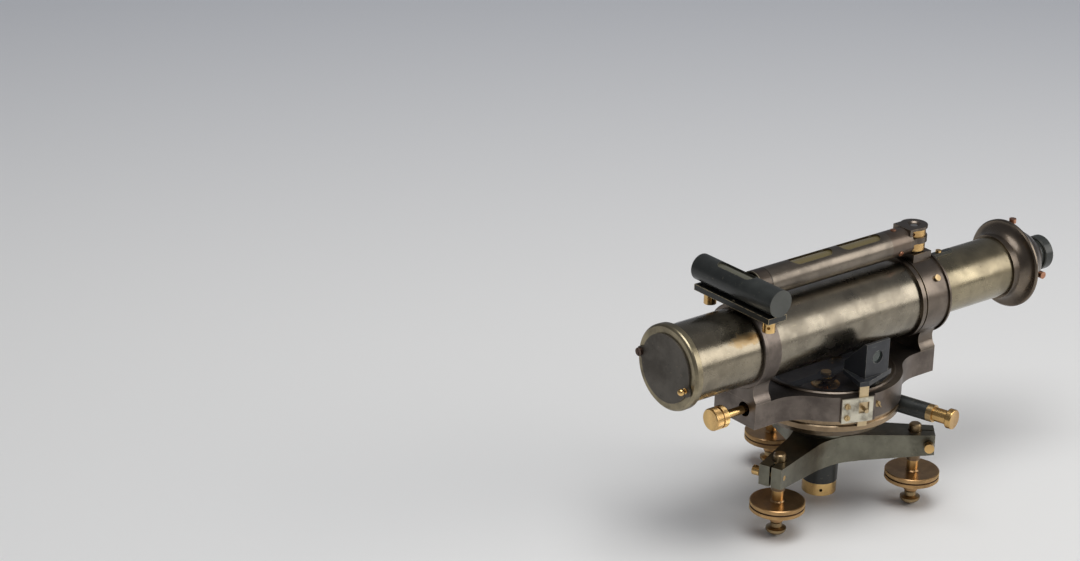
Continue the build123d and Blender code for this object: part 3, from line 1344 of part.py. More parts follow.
with BuildPart() as tube_key:
    with BuildSketch(Plane.XY.offset(AXIS_Z + DRAW_R - 0.5)):
        with Locations(((KEY_FRONT_X + KEY_BACK_X) / 2, 0)):
            Rectangle(KEY_BACK_X - KEY_FRONT_X, KEY_W)
    extrude(amount=KEY_TOP - DRAW_R + 0.5)
    with BuildSketch(Plane.XY.offset(AXIS_Z + KEY_TOP)):
        with Locations((KEY_SCREW_X, 0)):
            Circle(1.9)
    extrude(amount=1.7)
    with BuildSketch(station_plane(KEY_FRONT_X - 1)) as tube_seat:
        Circle(DRAW_R)
    extrude(tube_seat.sketch, amount=KEY_BACK_X - KEY_FRONT_X + 2, mode=Mode.SUBTRACT)
keep(tube_key, "tube_key")

# Small screws of the upper part: guide plate, stage ring and collars
with BuildPart() as fixing_screws:
    for screw_x, screw_z in ((-7.2, 3.6), (-7.2, -4.4)):
        with BuildSketch(guide_plane.offset(GUIDE_PLATE_T)):
            with Locations((screw_x + GUIDE_PLATE_SHIFT, screw_z)):
                Circle(1.9)
        extrude(amount=1.2)
        with BuildSketch(guide_plane.offset(-2.5)):
            with Locations((screw_x + GUIDE_PLATE_SHIFT, screw_z)):
                Circle(0.9)
        extrude(amount=2.5 + GUIDE_PLATE_T)
        with BuildSketch(guide_plane.offset(GUIDE_PLATE_T + 1.2)):
            with Locations((screw_x + GUIDE_PLATE_SHIFT, screw_z)):
                Rectangle(0.6, 4.2, rotation=12)
        extrude(amount=-0.6, mode=Mode.SUBTRACT)
    with BuildSketch(across(RING_SCREW_ANGLE, STAGE_RING_R + 0.02, RING_SCREW_Z)):
        Circle(2.0)
    extrude(amount=1.1)
    with BuildSketch(across(RING_SCREW_ANGLE, STAGE_RING_R + 1.1, RING_SCREW_Z)) as ring_slot:
        Rectangle(0.6, 5, rotation=35)
    extrude(ring_slot.sketch, amount=-0.6, mode=Mode.SUBTRACT)
    collar_screw_angle = radians(38)
    screw_direction = (0, -cos(collar_screw_angle), sin(collar_screw_angle))
    collar_seat = Plane(origin=(rear_end - COLLAR_SCREW_D, 0, AXIS_Z), z_dir=screw_direction, x_dir=(1, 0, 0))
    with BuildSketch(collar_seat.offset(REAR_BAND_R)):
        Circle(2.2)
    extrude(amount=1.5)
keep(fixing_screws, "fixing_screws")

# Main level over the telescope: hinged at the front, on a stud with two capstan nuts at the rear
LEVEL = Plane(origin=(0, 0, LEVEL_Z), x_dir=(1, 0, 0), z_dir=(0, -1, 0))
LEVEL_AXIS = Axis((0, 0, LEVEL_Z), (1, 0, 0))
level_inner = LEVEL_R - LEVEL_WALL


def level_station(x):
    """Return the plane across the main level at a station, its normal along +X."""
    return Plane(origin=(x, 0, LEVEL_Z), x_dir=(0, 1, 0), z_dir=(1, 0, 0))


with BuildPart() as level_tube:
    with BuildSketch(level_station(LEVEL_FRONT_X)):
        Circle(LEVEL_R)
        Circle(level_inner, mode=Mode.SUBTRACT)
    extrude(amount=LEVEL_BACK_X - LEVEL_FRONT_X)
    with BuildSketch(level_station(LEVEL_FRONT_X + LEVEL_CUP_L)):
        Circle(level_inner)
    extrude(amount=2)
    with BuildSketch(Plane.XY.offset(LEVEL_Z)) as tube_windows:
        with Locations(*[(x, 0) for x in LEVEL_WINDOW_X]):
            SlotOverall(2 * LEVEL_WINDOW_HALF, LEVEL_WINDOW_W)
    extrude(tube_windows.sketch, amount=LEVEL_R + 1, mode=Mode.SUBTRACT)
    with BuildSketch(Plane.XY.offset(LEVEL_Z - LEVEL_R - 1)) as post_slot:
        with Locations((LEVEL_FRONT_X + LEVEL_CUP_L / 2, 0)):
            Rectangle(LEVEL_CUP_L - 0.6, 7.2)
    extrude(post_slot.sketch, amount=LEVEL_R, mode=Mode.SUBTRACT)
    pin_plane = Plane(origin=(HINGE_X, 0, LEVEL_Z), x_dir=(1, 0, 0), z_dir=(0, 1, 0))
    with BuildSketch(pin_plane) as pin_holes:
        Circle(HINGE_PIN_R + RUN)
    extrude(pin_holes.sketch, amount=LEVEL_R + 2, both=True, mode=Mode.SUBTRACT)
keep(level_tube, "level_tube")

with BuildPart() as level_hinge:
    hinge_base = cross_plate_bottom
    with BuildSketch(Plane.XY.offset(hinge_base)):
        with Locations((HINGE_X, 0)):
            Rectangle(5.6, 6.0)
    extrude(amount=LEVEL_Z - hinge_base)
    with BuildSketch(pin_plane.offset(-3.0)):
        Circle(2.8)
    extrude(amount=6.0)
    with BuildSketch(pin_plane.offset(-LEVEL_R + 0.4)):
        Circle(HINGE_PIN_R)
    extrude(amount=2 * LEVEL_R - 0.8)
keep(level_hinge, "level_hinge")

with BuildPart() as level_vial:
    with BuildSketch(level_station(LEVEL_FRONT_X + LEVEL_CUP_L + 2)):
        Circle(VIAL_R)
    extrude(amount=LEVEL_BACK_X - LEVEL_FRONT_X - LEVEL_CUP_L - 2)
keep(level_vial, "level_vial")

with BuildPart() as level_eye:
    with BuildSketch(level_station(LEVEL_BACK_X)):
        Circle(LEVEL_R)
    extrude(amount=2.4)
    with BuildSketch(Plane.XY.offset(EYE_BOTTOM)):
        with Locations((STUD_X, 0)):
            Circle(EYE_R)
        with Locations(((LEVEL_BACK_X + STUD_X) / 2, 0)):
            Rectangle(STUD_X - LEVEL_BACK_X, 2 * EYE_R - 2)
    extrude(amount=EYE_TOP - EYE_BOTTOM)
    nut_room = NUT_R + 2 * GAP
    with BuildSketch(Plane.XY.offset(EYE_WINDOW_Z)):
        with Locations((STUD_X + EYE_R - nut_room, 0)):
            Rectangle(2 * EYE_R, 2 * EYE_R + 4)
    extrude(amount=EYE_WINDOW_H, mode=Mode.SUBTRACT)
    with BuildSketch(Plane.XY.offset(EYE_BOTTOM)):
        with Locations((STUD_X, 0)):
            Circle(STUD_R + EASY)
    extrude(amount=EYE_TOP, mode=Mode.SUBTRACT)
    dish_plane = Plane(origin=(STUD_X, 0, EYE_TOP), x_dir=(1, 0, 0), z_dir=(0, -1, 0))
    revolve(
        outline_face(dish_plane, [(0, 0.1), (0, -EYE_DISH_D), (3.4, -EYE_DISH_D), (4.8, 0.1)]),
        axis=Axis((STUD_X, 0, 0), (0, 0, 1)),
        mode=Mode.SUBTRACT,
    )
keep(level_eye, "level_eye")

with BuildPart() as level_stud:
    with BuildSketch(Plane.XY.offset(rear_lug_top - STUD_SEAT_D)):
        with Locations((STUD_X, 0)):
            Circle(STUD_R)
    extrude(amount=EYE_TOP - EYE_DISH_D - 0.1 - rear_lug_top + STUD_SEAT_D)
keep(level_stud, "level_stud")

nut_heights = {
    "level_nut_lower": EYE_BOTTOM - NUT_T,
    "level_nut_upper": EYE_WINDOW_Z + 0.1,
}
for nut_name, nut_z in nut_heights.items():
    nut_height = NUT_T - 0.1 if nut_name == "level_nut_lower" else EYE_WINDOW_H - 0.8
    with BuildPart() as level_nut:
        with BuildSketch(Plane.XY.offset(nut_z)):
            with Locations((STUD_X, 0)):
                Circle(NUT_R)
                Circle(STUD_R + NUT_RUN, mode=Mode.SUBTRACT)
        extrude(amount=nut_height)
        for turn in range(4):
            nut_turn = 45 + 90 * turn
            outward = (cos(radians(nut_turn)), sin(radians(nut_turn)), 0)
            tommy_plane = Plane(origin=(STUD_X, 0, nut_z + nut_height / 2), z_dir=outward)
            with BuildSketch(tommy_plane.offset(STUD_R + 2.4)) as tommy:
                Circle(TOMMY_R)
            extrude(tommy.sketch, amount=NUT_R, mode=Mode.SUBTRACT)
    keep(level_nut, nut_name)

# Cross level on its plate
cross_z = CROSS_PLATE_TOP + CROSS_RIDGE_H + RUN + CROSS_R


def cross_station(y):
    """Return the plane across the cross level at a station, its normal along +Y."""
    return Plane(origin=(CROSS_X, y, cross_z), x_dir=(-1, 0, 0), z_dir=(0, 1, 0))


with BuildPart() as cross_plate:
    with BuildSketch(Plane.XY.offset(cross_plate_bottom)):
        with Locations((CROSS_X, 0)):
            Rectangle(CROSS_PLATE_W, 2 * CROSS_PLATE_HALF)
    extrude(amount=CROSS_PLATE_T)
    ridge_z = CROSS_PLATE_TOP + CROSS_RIDGE_H - CROSS_RIDGE_R
    with BuildSketch(station_plane(CROSS_X - CROSS_PLATE_W / 2 + 2)) as ridge:
        with Locations((0, ridge_z - AXIS_Z)):
            Circle(CROSS_RIDGE_R)
    extrude(ridge.sketch, amount=CROSS_PLATE_W - 4)
    with Locations((CROSS_X, CROSS_SCREW_Y, CROSS_PLATE_TOP), (CROSS_X, -CROSS_SCREW_Y, CROSS_PLATE_TOP)):
        Hole(CROSS_SHANK_R + EASY, depth=2 * CROSS_PLATE_T)
keep(cross_plate, "cross_plate")

with BuildPart() as cross_tube:
    with BuildSketch(cross_station(-CROSS_HALF)):
        Circle(CROSS_R)
    extrude(amount=2 * CROSS_HALF)
    with BuildSketch(cross_station(-CROSS_HALF + 2)):
        Circle(CROSS_R - CROSS_WALL)
    extrude(amount=2 * CROSS_HALF - 4, mode=Mode.SUBTRACT)
    with BuildSketch(Plane.XY.offset(cross_z)) as cross_window:
        with Locations((CROSS_X, 4)):
            SlotOverall(2 * CROSS_WINDOW_HALF, CROSS_WINDOW_W, rotation=90)
    extrude(cross_window.sketch, amount=CROSS_R + 1, mode=Mode.SUBTRACT)
    with BuildSketch(Plane.XY.offset(cross_z - CROSS_R - 1)) as screw_holes:
        with Locations((CROSS_X, CROSS_SCREW_Y), (CROSS_X, -CROSS_SCREW_Y)):
            Circle(CROSS_SHANK_R + RUN)
    extrude(screw_holes.sketch, amount=4, mode=Mode.SUBTRACT)
keep(cross_tube, "cross_tube")

cross_vial_r = CROSS_R - CROSS_WALL - CROSS_VIAL_GAP
cross_vial_half = CROSS_SCREW_Y - CROSS_SHANK_R - 1
with BuildPart() as cross_vial:
    with BuildSketch(cross_station(-cross_vial_half)):
        Circle(cross_vial_r)
    extrude(amount=2 * cross_vial_half)
keep(cross_vial, "cross_vial")

for side_name, side_y in (("near", -CROSS_SCREW_Y), ("far", CROSS_SCREW_Y)):
    with BuildPart() as cross_screw:
        head_top_z = cross_plate_bottom - 0.3
        with BuildSketch(Plane.XY.offset(head_top_z)):
            with Locations((CROSS_X, side_y)):
                Circle(CROSS_HEAD_R)
        extrude(amount=-CROSS_HEAD_L)
        with BuildSketch(Plane.XY.offset(head_top_z)):
            with Locations((CROSS_X, side_y)):
                Circle(CROSS_SHANK_R)
        extrude(amount=cross_z - CROSS_R + 1.6 - head_top_z)
        for turn in range(4):
            outward_turn = radians(45 + 90 * turn)
            outward = (cos(outward_turn), sin(outward_turn), 0)
            tommy_plane = Plane(origin=(CROSS_X, side_y, head_top_z - CROSS_HEAD_L * 0.55), z_dir=outward)
            with BuildSketch(tommy_plane.offset(1.6)) as tommy:
                Circle(TOMMY_R)
            extrude(tommy.sketch, amount=CROSS_HEAD_R, mode=Mode.SUBTRACT)
    keep(cross_screw, f"cross_screw_{side_name}")
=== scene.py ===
"""Studio picture of a surveyor's dumpy level with a prismatic compass.

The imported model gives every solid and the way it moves. This script adds the finishes, the fine
pieces that the solids leave out, a pale floor, soft lamps and the camera.
"""

from __future__ import annotations

import json
import logging
import math
from dataclasses import dataclass, field
from enum import Enum
from typing import Any, Callable, Sequence, Union

import bpy
from mathutils import Matrix, Vector

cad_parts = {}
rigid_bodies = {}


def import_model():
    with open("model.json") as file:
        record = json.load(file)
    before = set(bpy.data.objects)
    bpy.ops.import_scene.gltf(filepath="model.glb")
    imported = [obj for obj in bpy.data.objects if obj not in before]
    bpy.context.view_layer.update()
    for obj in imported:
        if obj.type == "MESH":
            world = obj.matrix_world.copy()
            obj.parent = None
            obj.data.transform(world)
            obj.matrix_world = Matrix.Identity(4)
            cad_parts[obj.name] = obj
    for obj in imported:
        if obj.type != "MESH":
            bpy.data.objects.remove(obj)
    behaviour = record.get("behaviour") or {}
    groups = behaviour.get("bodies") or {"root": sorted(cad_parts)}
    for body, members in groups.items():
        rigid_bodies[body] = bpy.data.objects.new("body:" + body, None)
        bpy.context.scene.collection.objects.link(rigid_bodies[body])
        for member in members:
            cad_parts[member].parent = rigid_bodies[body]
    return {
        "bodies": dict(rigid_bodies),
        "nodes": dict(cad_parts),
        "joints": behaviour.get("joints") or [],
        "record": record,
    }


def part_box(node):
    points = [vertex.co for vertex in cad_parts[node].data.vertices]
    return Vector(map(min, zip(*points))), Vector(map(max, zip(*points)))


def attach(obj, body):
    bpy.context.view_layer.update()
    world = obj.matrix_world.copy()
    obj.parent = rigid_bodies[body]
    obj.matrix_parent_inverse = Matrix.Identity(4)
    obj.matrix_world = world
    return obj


LOG = logging.getLogger("level")

Colour = tuple[float, float, float]
Point = tuple[float, float, float]
MM = 0.001

FOOT_CIRCLE_R = 60.0 * MM
FOOT_ANGLES: dict[str, float] = {"front": 200.0, "right": 320.0, "rear": 80.0}


class Signal:
    """A shader value or colour that takes part in Python expressions.

    Args:
        tree: The node tree that holds the value.
        socket: The output socket that gives it.
    """

    def __init__(self, tree: bpy.types.NodeTree, socket: bpy.types.NodeSocket) -> None:
        """Keep the tree and the socket."""
        self.tree = tree
        self.socket = socket

    def _math(self, operation: str, first: Operand, second: Operand | None = None) -> Signal:
        """Add a Math node.

        Args:
            operation: The node's operation.
            first: Its first value or link.
            second: Its second value or link, if it takes one.

        Returns:
            The node's result.
        """
        node = self.tree.nodes.new("ShaderNodeMath")
        node.operation = operation
        for index, value in enumerate((first, second)):
            if isinstance(value, Signal):
                self.tree.links.new(value.socket, node.inputs[index])
            elif value is not None:
                node.inputs[index].default_value = value
        return Signal(self.tree, node.outputs[0])

    def __add__(self, other: Operand) -> Signal:
        """Return the sum."""
        return self._math("ADD", self, other)

    def __radd__(self, other: Operand) -> Signal:
        """Return the sum, reflected."""
        return self._math("ADD", other, self)

    def __sub__(self, other: Operand) -> Signal:
        """Return the difference."""
        return self._math("SUBTRACT", self, other)

    def __rsub__(self, other: Operand) -> Signal:
        """Return the difference, reflected."""
        return self._math("SUBTRACT", other, self)

    def __mul__(self, other: Operand) -> Signal:
        """Return the product."""
        return self._math("MULTIPLY", self, other)

    def __rmul__(self, other: Operand) -> Signal:
        """Return the product, reflected."""
        return self._math("MULTIPLY", other, self)

    def __truediv__(self, other: Operand) -> Signal:
        """Return the quotient."""
        return self._math("DIVIDE", self, other)

    def __pow__(self, other: Operand) -> Signal:
        """Return the power."""
        return self._math("POWER", self, other)

    def size(self) -> Signal:
        """Return the value without its sign."""
        return self._math("ABSOLUTE", self)

    def most(self, other: Operand) -> Signal:
        """Return the larger of the two."""
        return self._math("MAXIMUM", self, other)

    def __lt__(self, other: Operand) -> Signal:
        """Return 1 where this is less than the other, and 0 elsewhere."""
        return self._math("LESS_THAN", self, other)

    def __gt__(self, other: Operand) -> Signal:
        """Return 1 where this is greater than the other, and 0 elsewhere."""
        return self._math("GREATER_THAN", self, other)


Operand = Union[Signal, float]
Feed = Union[Signal, float, Sequence[float]]


class Bench:
    """A new node material, with one way to add a node.

    Args:
        name: The material's name.
    """

    def __init__(self, name: str) -> None:
        """Make an empty node material."""
        self.material = bpy.data.materials.new(name)
        self.material.use_nodes = True
        self.tree = self.material.node_tree
        self.tree.nodes.clear()

    def node(
        self,
        kind: str,
        settings: dict[str, Any] | None = None,
        feeds: dict[str | int, Feed] | None = None,
        output: str | int = 0,
    ) -> Signal:
        """Add a node: its settings first, and then its sockets.

        Args:
            kind: The node's type without its common prefix, such as "TexNoise".
            settings: Attributes of the node; "stops" lists a ramp's positions and colours.
            feeds: Values or links of its input sockets, by name or index.
            output: The output socket to return, by name or index.

        Returns:
            The node's chosen output.
        """
        node = self.tree.nodes.new("ShaderNode" + kind)
        for key, value in (settings or {}).items():
            if key == "stops":
                ramp = node.color_ramp
                while len(ramp.elements) < len(value):
                    ramp.elements.new(0.5)
                for element, (position, colour) in zip(ramp.elements, value):
                    element.position = position
                    element.color = (*colour, 1.0)
            else:
                setattr(node, key, value)
        for socket, value in (feeds or {}).items():
            if isinstance(value, Signal):
                self.tree.links.new(value.socket, node.inputs[socket])
            elif isinstance(value, (int, float)):
                node.inputs[socket].default_value = value
            else:
                given = tuple(value)
                wanted = len(node.inputs[socket].default_value)
                node.inputs[socket].default_value = given + (1.0,) * (wanted - len(given))
        return Signal(self.tree, node.outputs[output])

    def place(self, scale: Point = (1.0, 1.0, 1.0), centre: Point = (0.0, 0.0, 0.0)) -> Signal:
        """Return object coordinates about a centre, scaled along each axis."""
        raw = self.node("TexCoord", output="Object")
        shift = tuple(-c * s for c, s in zip(centre, scale))
        return self.node("Mapping", feeds={"Vector": raw, "Location": shift, "Scale": scale})

    def noise(self, where: Signal, scale: float, detail: float = 3.0, roughness: float = 0.55) -> Signal:
        """Return a cloud pattern from 0 to 1."""
        feeds: dict[str | int, Feed] = {
            "Vector": where,
            "Scale": scale,
            "Detail": detail,
            "Roughness": roughness,
        }
        return self.node("TexNoise", feeds=feeds)

    def span(self, value: Signal, low: float, high: float, to: tuple[float, float] = (0.0, 1.0)) -> Signal:
        """Return the value's range from low to high stretched smoothly to another range."""
        feeds: dict[str | int, Feed] = {
            "Value": value,
            "From Min": low,
            "From Max": high,
            "To Min": to[0],
            "To Max": to[1],
        }
        return self.node("MapRange", {"interpolation_type": "SMOOTHSTEP"}, feeds)

    def blend(self, share: Feed, first: Feed, second: Feed) -> Signal:
        """Return a colour that goes from the first to the second as the share goes from 0 to 1."""
        return self.node("Mix", {"data_type": "RGBA"}, {0: share, 6: first, 7: second}, output=2)

    def axis(self, where: Signal, name: str) -> Signal:
        """Return one part of a vector, "X", "Y" or "Z"."""
        return self.node("SeparateXYZ", feeds={"Vector": where}, output=name)

    def edges(self, width: float) -> Signal:
        """Return a mask that is 1 on sharp edges and 0 on flat or gently curved faces."""
        rounded = self.node("Bevel", {"samples": 6}, {"Radius": width})
        true_normal = self.node("NewGeometry", output="Normal")
        dot = self.node("VectorMath", {"operation": "DOT_PRODUCT"}, {0: rounded, 1: true_normal}, "Value")
        return self.span(1.0 - dot, 0.004, 0.10)

    def surface(self, shader: dict[str | int, Feed]) -> bpy.types.Material:
        """End the tree in one Principled shader with these sockets, and return the material."""
        result = self.node("BsdfPrincipled", feeds=shader)
        output = self.tree.nodes.new("ShaderNodeOutputMaterial")
        self.tree.links.new(result.socket, output.inputs["Surface"])
        return self.material


class Grain(Enum):
    """The way that the tool marks run on a piece."""

    NONE = "none"
    ABOUT_X = "rings about the telescope's axis"
    ABOUT_Z = "rings about the vertical axis"


@dataclass(frozen=True)
class Zone:
    """A part of a piece that has its own colour, and on the draw tube a painted reflection.

    Attributes:
        centre: The middle of the zone.
        half: Its half size along each axis, in millimetres, like the centre.
        colour: Its colour.
        gloss: Its roughness.
        metallic: 1 for bare metal, and less for lacquer, paint or dirt.
        round: Whether it is an ellipsoid and not a box.
        ragged: How ragged its border is; 0 gives a sharp one.
        strength: How fully the colour covers what is under it.
    """

    centre: Point
    half: Point
    colour: Colour
    gloss: float = 0.3
    metallic: float = 1.0
    round: bool = False
    ragged: float = 0.0
    strength: float = 1.0

    def mask(self, bench: Bench) -> Signal:
        """Return the share of the zone's colour at each place.

        Args:
            bench: The bench of the material.

        Returns:
            The share, from 0 to the zone's strength.
        """
        scale = tuple(1.0 / (half * MM) for half in self.half)
        where = bench.place(scale, tuple(part * MM for part in self.centre))
        if self.round:
            away = bench.node("VectorMath", {"operation": "LENGTH"}, {0: where}, "Value")
        else:
            sides = [bench.axis(where, name).size() for name in "XYZ"]
            away = sides[0].most(sides[1]).most(sides[2])
        if self.ragged == 0.0:
            return (away < 1.0) * self.strength
        cloud = bench.noise(bench.place(), 170.0, 5.0, 0.7) - 0.5
        return bench.span(away + cloud * self.ragged, 1.0, 0.55) * self.strength


WHOLE = 500.0


@dataclass(frozen=True)
class Metal:
    """A metal surface with tarnish, worn edges, tool marks and fine scratches.

    Attributes:
        base: The metal's main colour.
        stain: The colour of its tarnished patches.
        worn: The colour that its worn edges show.
        gloss: Its roughness where it is clean.
        stain_share: How strongly the patches show.
        wear: How strongly the edges are worn.
        wear_width: The width of a worn edge, in metres.
        scratches: How strongly fine scratches show.
        lacquer: The weight of the clear lacquer.
        grain: The direction of the tool marks.
        grain_depth: The strength of the tool marks.
        metallic: 1 for bare or clear-lacquered metal, and less under dark lacquer or paint.
        patch: The number of patches in a metre.
        zones: The parts that have their own colour, and on the draw tube a painted reflection.
    """

    base: Colour
    stain: Colour
    worn: Colour
    gloss: float
    stain_share: float = 0.6
    wear: float = 0.7
    wear_width: float = 0.35 * MM
    scratches: float = 0.35
    lacquer: float = 0.25
    grain: Grain = Grain.NONE
    grain_depth: float = 0.15
    metallic: float = 1.0
    patch: float = 38.0
    zones: tuple[Zone, ...] = ()

    def marks(self, bench: Bench) -> Signal:
        """Return the tool marks as a height from 0 to 1."""
        if self.grain is Grain.ABOUT_X:
            return bench.noise(bench.place((1.0, 0.02, 0.02)), 2600.0, 2.0)
        if self.grain is Grain.ABOUT_Z:
            return bench.noise(bench.place((0.02, 0.02, 1.0)), 2600.0, 2.0)
        return bench.noise(bench.place(), 1500.0, 3.0)

    def make(self, name: str) -> bpy.types.Material:
        """Build the material.

        Args:
            name: The material's name.

        Returns:
            The finished material.
        """
        bench = Bench(name)
        where = bench.place()
        clouds = bench.noise(where, self.patch, 5.0, 0.6)
        patches = bench.span(clouds, 0.42, 0.66)
        specks = bench.span(bench.noise(where, 900.0, 2.0), 0.66, 0.76)
        streaks = bench.noise(bench.place((0.12, 1.0, 1.0)), 420.0, 4.0, 0.7)
        crossing = bench.noise(bench.place((1.0, 0.16, 0.8), (0.01, 0.02, 0.0)), 640.0, 3.0, 0.7)
        scratch = bench.span(streaks, 0.64, 0.70) + bench.span(crossing, 0.67, 0.72)
        edge = bench.edges(self.wear_width)
        broken = bench.span(bench.noise(where, 260.0, 4.0, 0.7), 0.32, 0.62)
        worn = edge * broken * self.wear
        tone = bench.span(bench.noise(where, 90.0, 2.0), 0.3, 0.7, (0.86, 1.12))
        tone_colour = bench.node("CombineColor", feeds={0: tone, 1: tone, 2: tone})
        shaded = bench.node(
            "Mix", {"data_type": "RGBA", "blend_type": "MULTIPLY"}, {0: 1.0, 6: self.base, 7: tone_colour}, 2
        )
        tarnished = bench.blend(patches * self.stain_share, shaded, self.stain)
        dirtied = bench.blend(specks * 0.5, tarnished, tuple(0.3 * part for part in self.stain))
        scored = bench.blend(scratch * (0.45 * self.scratches), dirtied, self.worn)
        finish = bench.blend(worn, scored, self.worn)
        rough = patches * 0.12 + scratch * (0.10 * self.scratches) + specks * 0.15 + self.gloss
        metallic: Feed = self.metallic
        for zone in self.zones:
            share = zone.mask(bench)
            finish = bench.blend(share * (1.0 - patches * 0.25), finish, zone.colour)
            rough = rough + share * (zone.gloss - self.gloss)
            metallic = metallic + share * (zone.metallic - self.metallic)
        height = self.marks(bench) * self.grain_depth - scratch * (0.4 * self.scratches)
        relief: dict[str | int, Feed] = {"Height": height, "Strength": 0.10, "Distance": 0.05 * MM}
        return bench.surface(
            {
                "Base Color": finish,
                "Metallic": metallic,
                "Roughness": rough + worn * 0.06,
                "Coat Weight": self.lacquer,
                "Coat Roughness": 0.12,
                "Normal": bench.node("Bump", feeds=relief),
            }
        )


@dataclass(frozen=True)
class Glass:
    """A clear or tinted glass.

    Attributes:
        tint: The colour of what passes through.
        alpha: How much of it is seen.
        gloss: Its roughness.
    """

    tint: Colour
    alpha: float
    gloss: float = 0.03

    def make(self, name: str) -> bpy.types.Material:
        """Build the material and return it."""
        bench = Bench(name)
        smears = bench.span(bench.noise(bench.place(), 120.0, 4.0), 0.45, 0.75)
        return bench.surface(
            {
                "Base Color": self.tint,
                "Roughness": smears * 0.06 + self.gloss,
                "IOR": 1.5,
                "Alpha": smears * 0.04 + self.alpha,
                "Coat Weight": 0.6,
                "Coat Roughness": 0.03,
            }
        )


@dataclass(frozen=True)
class Paint:
    """A plain matt or satin coat for marks and fillings.

    Attributes:
        colour: Its colour.
        gloss: Its roughness.
    """

    colour: Colour
    gloss: float = 0.6

    def make(self, name: str) -> bpy.types.Material:
        """Build the material and return it."""
        bench = Bench(name)
        tone = bench.span(bench.noise(bench.place(), 700.0, 3.0), 0.3, 0.7)
        darker = tuple(0.75 * part for part in self.colour)
        return bench.surface({"Base Color": bench.blend(tone, darker, self.colour), "Roughness": self.gloss})


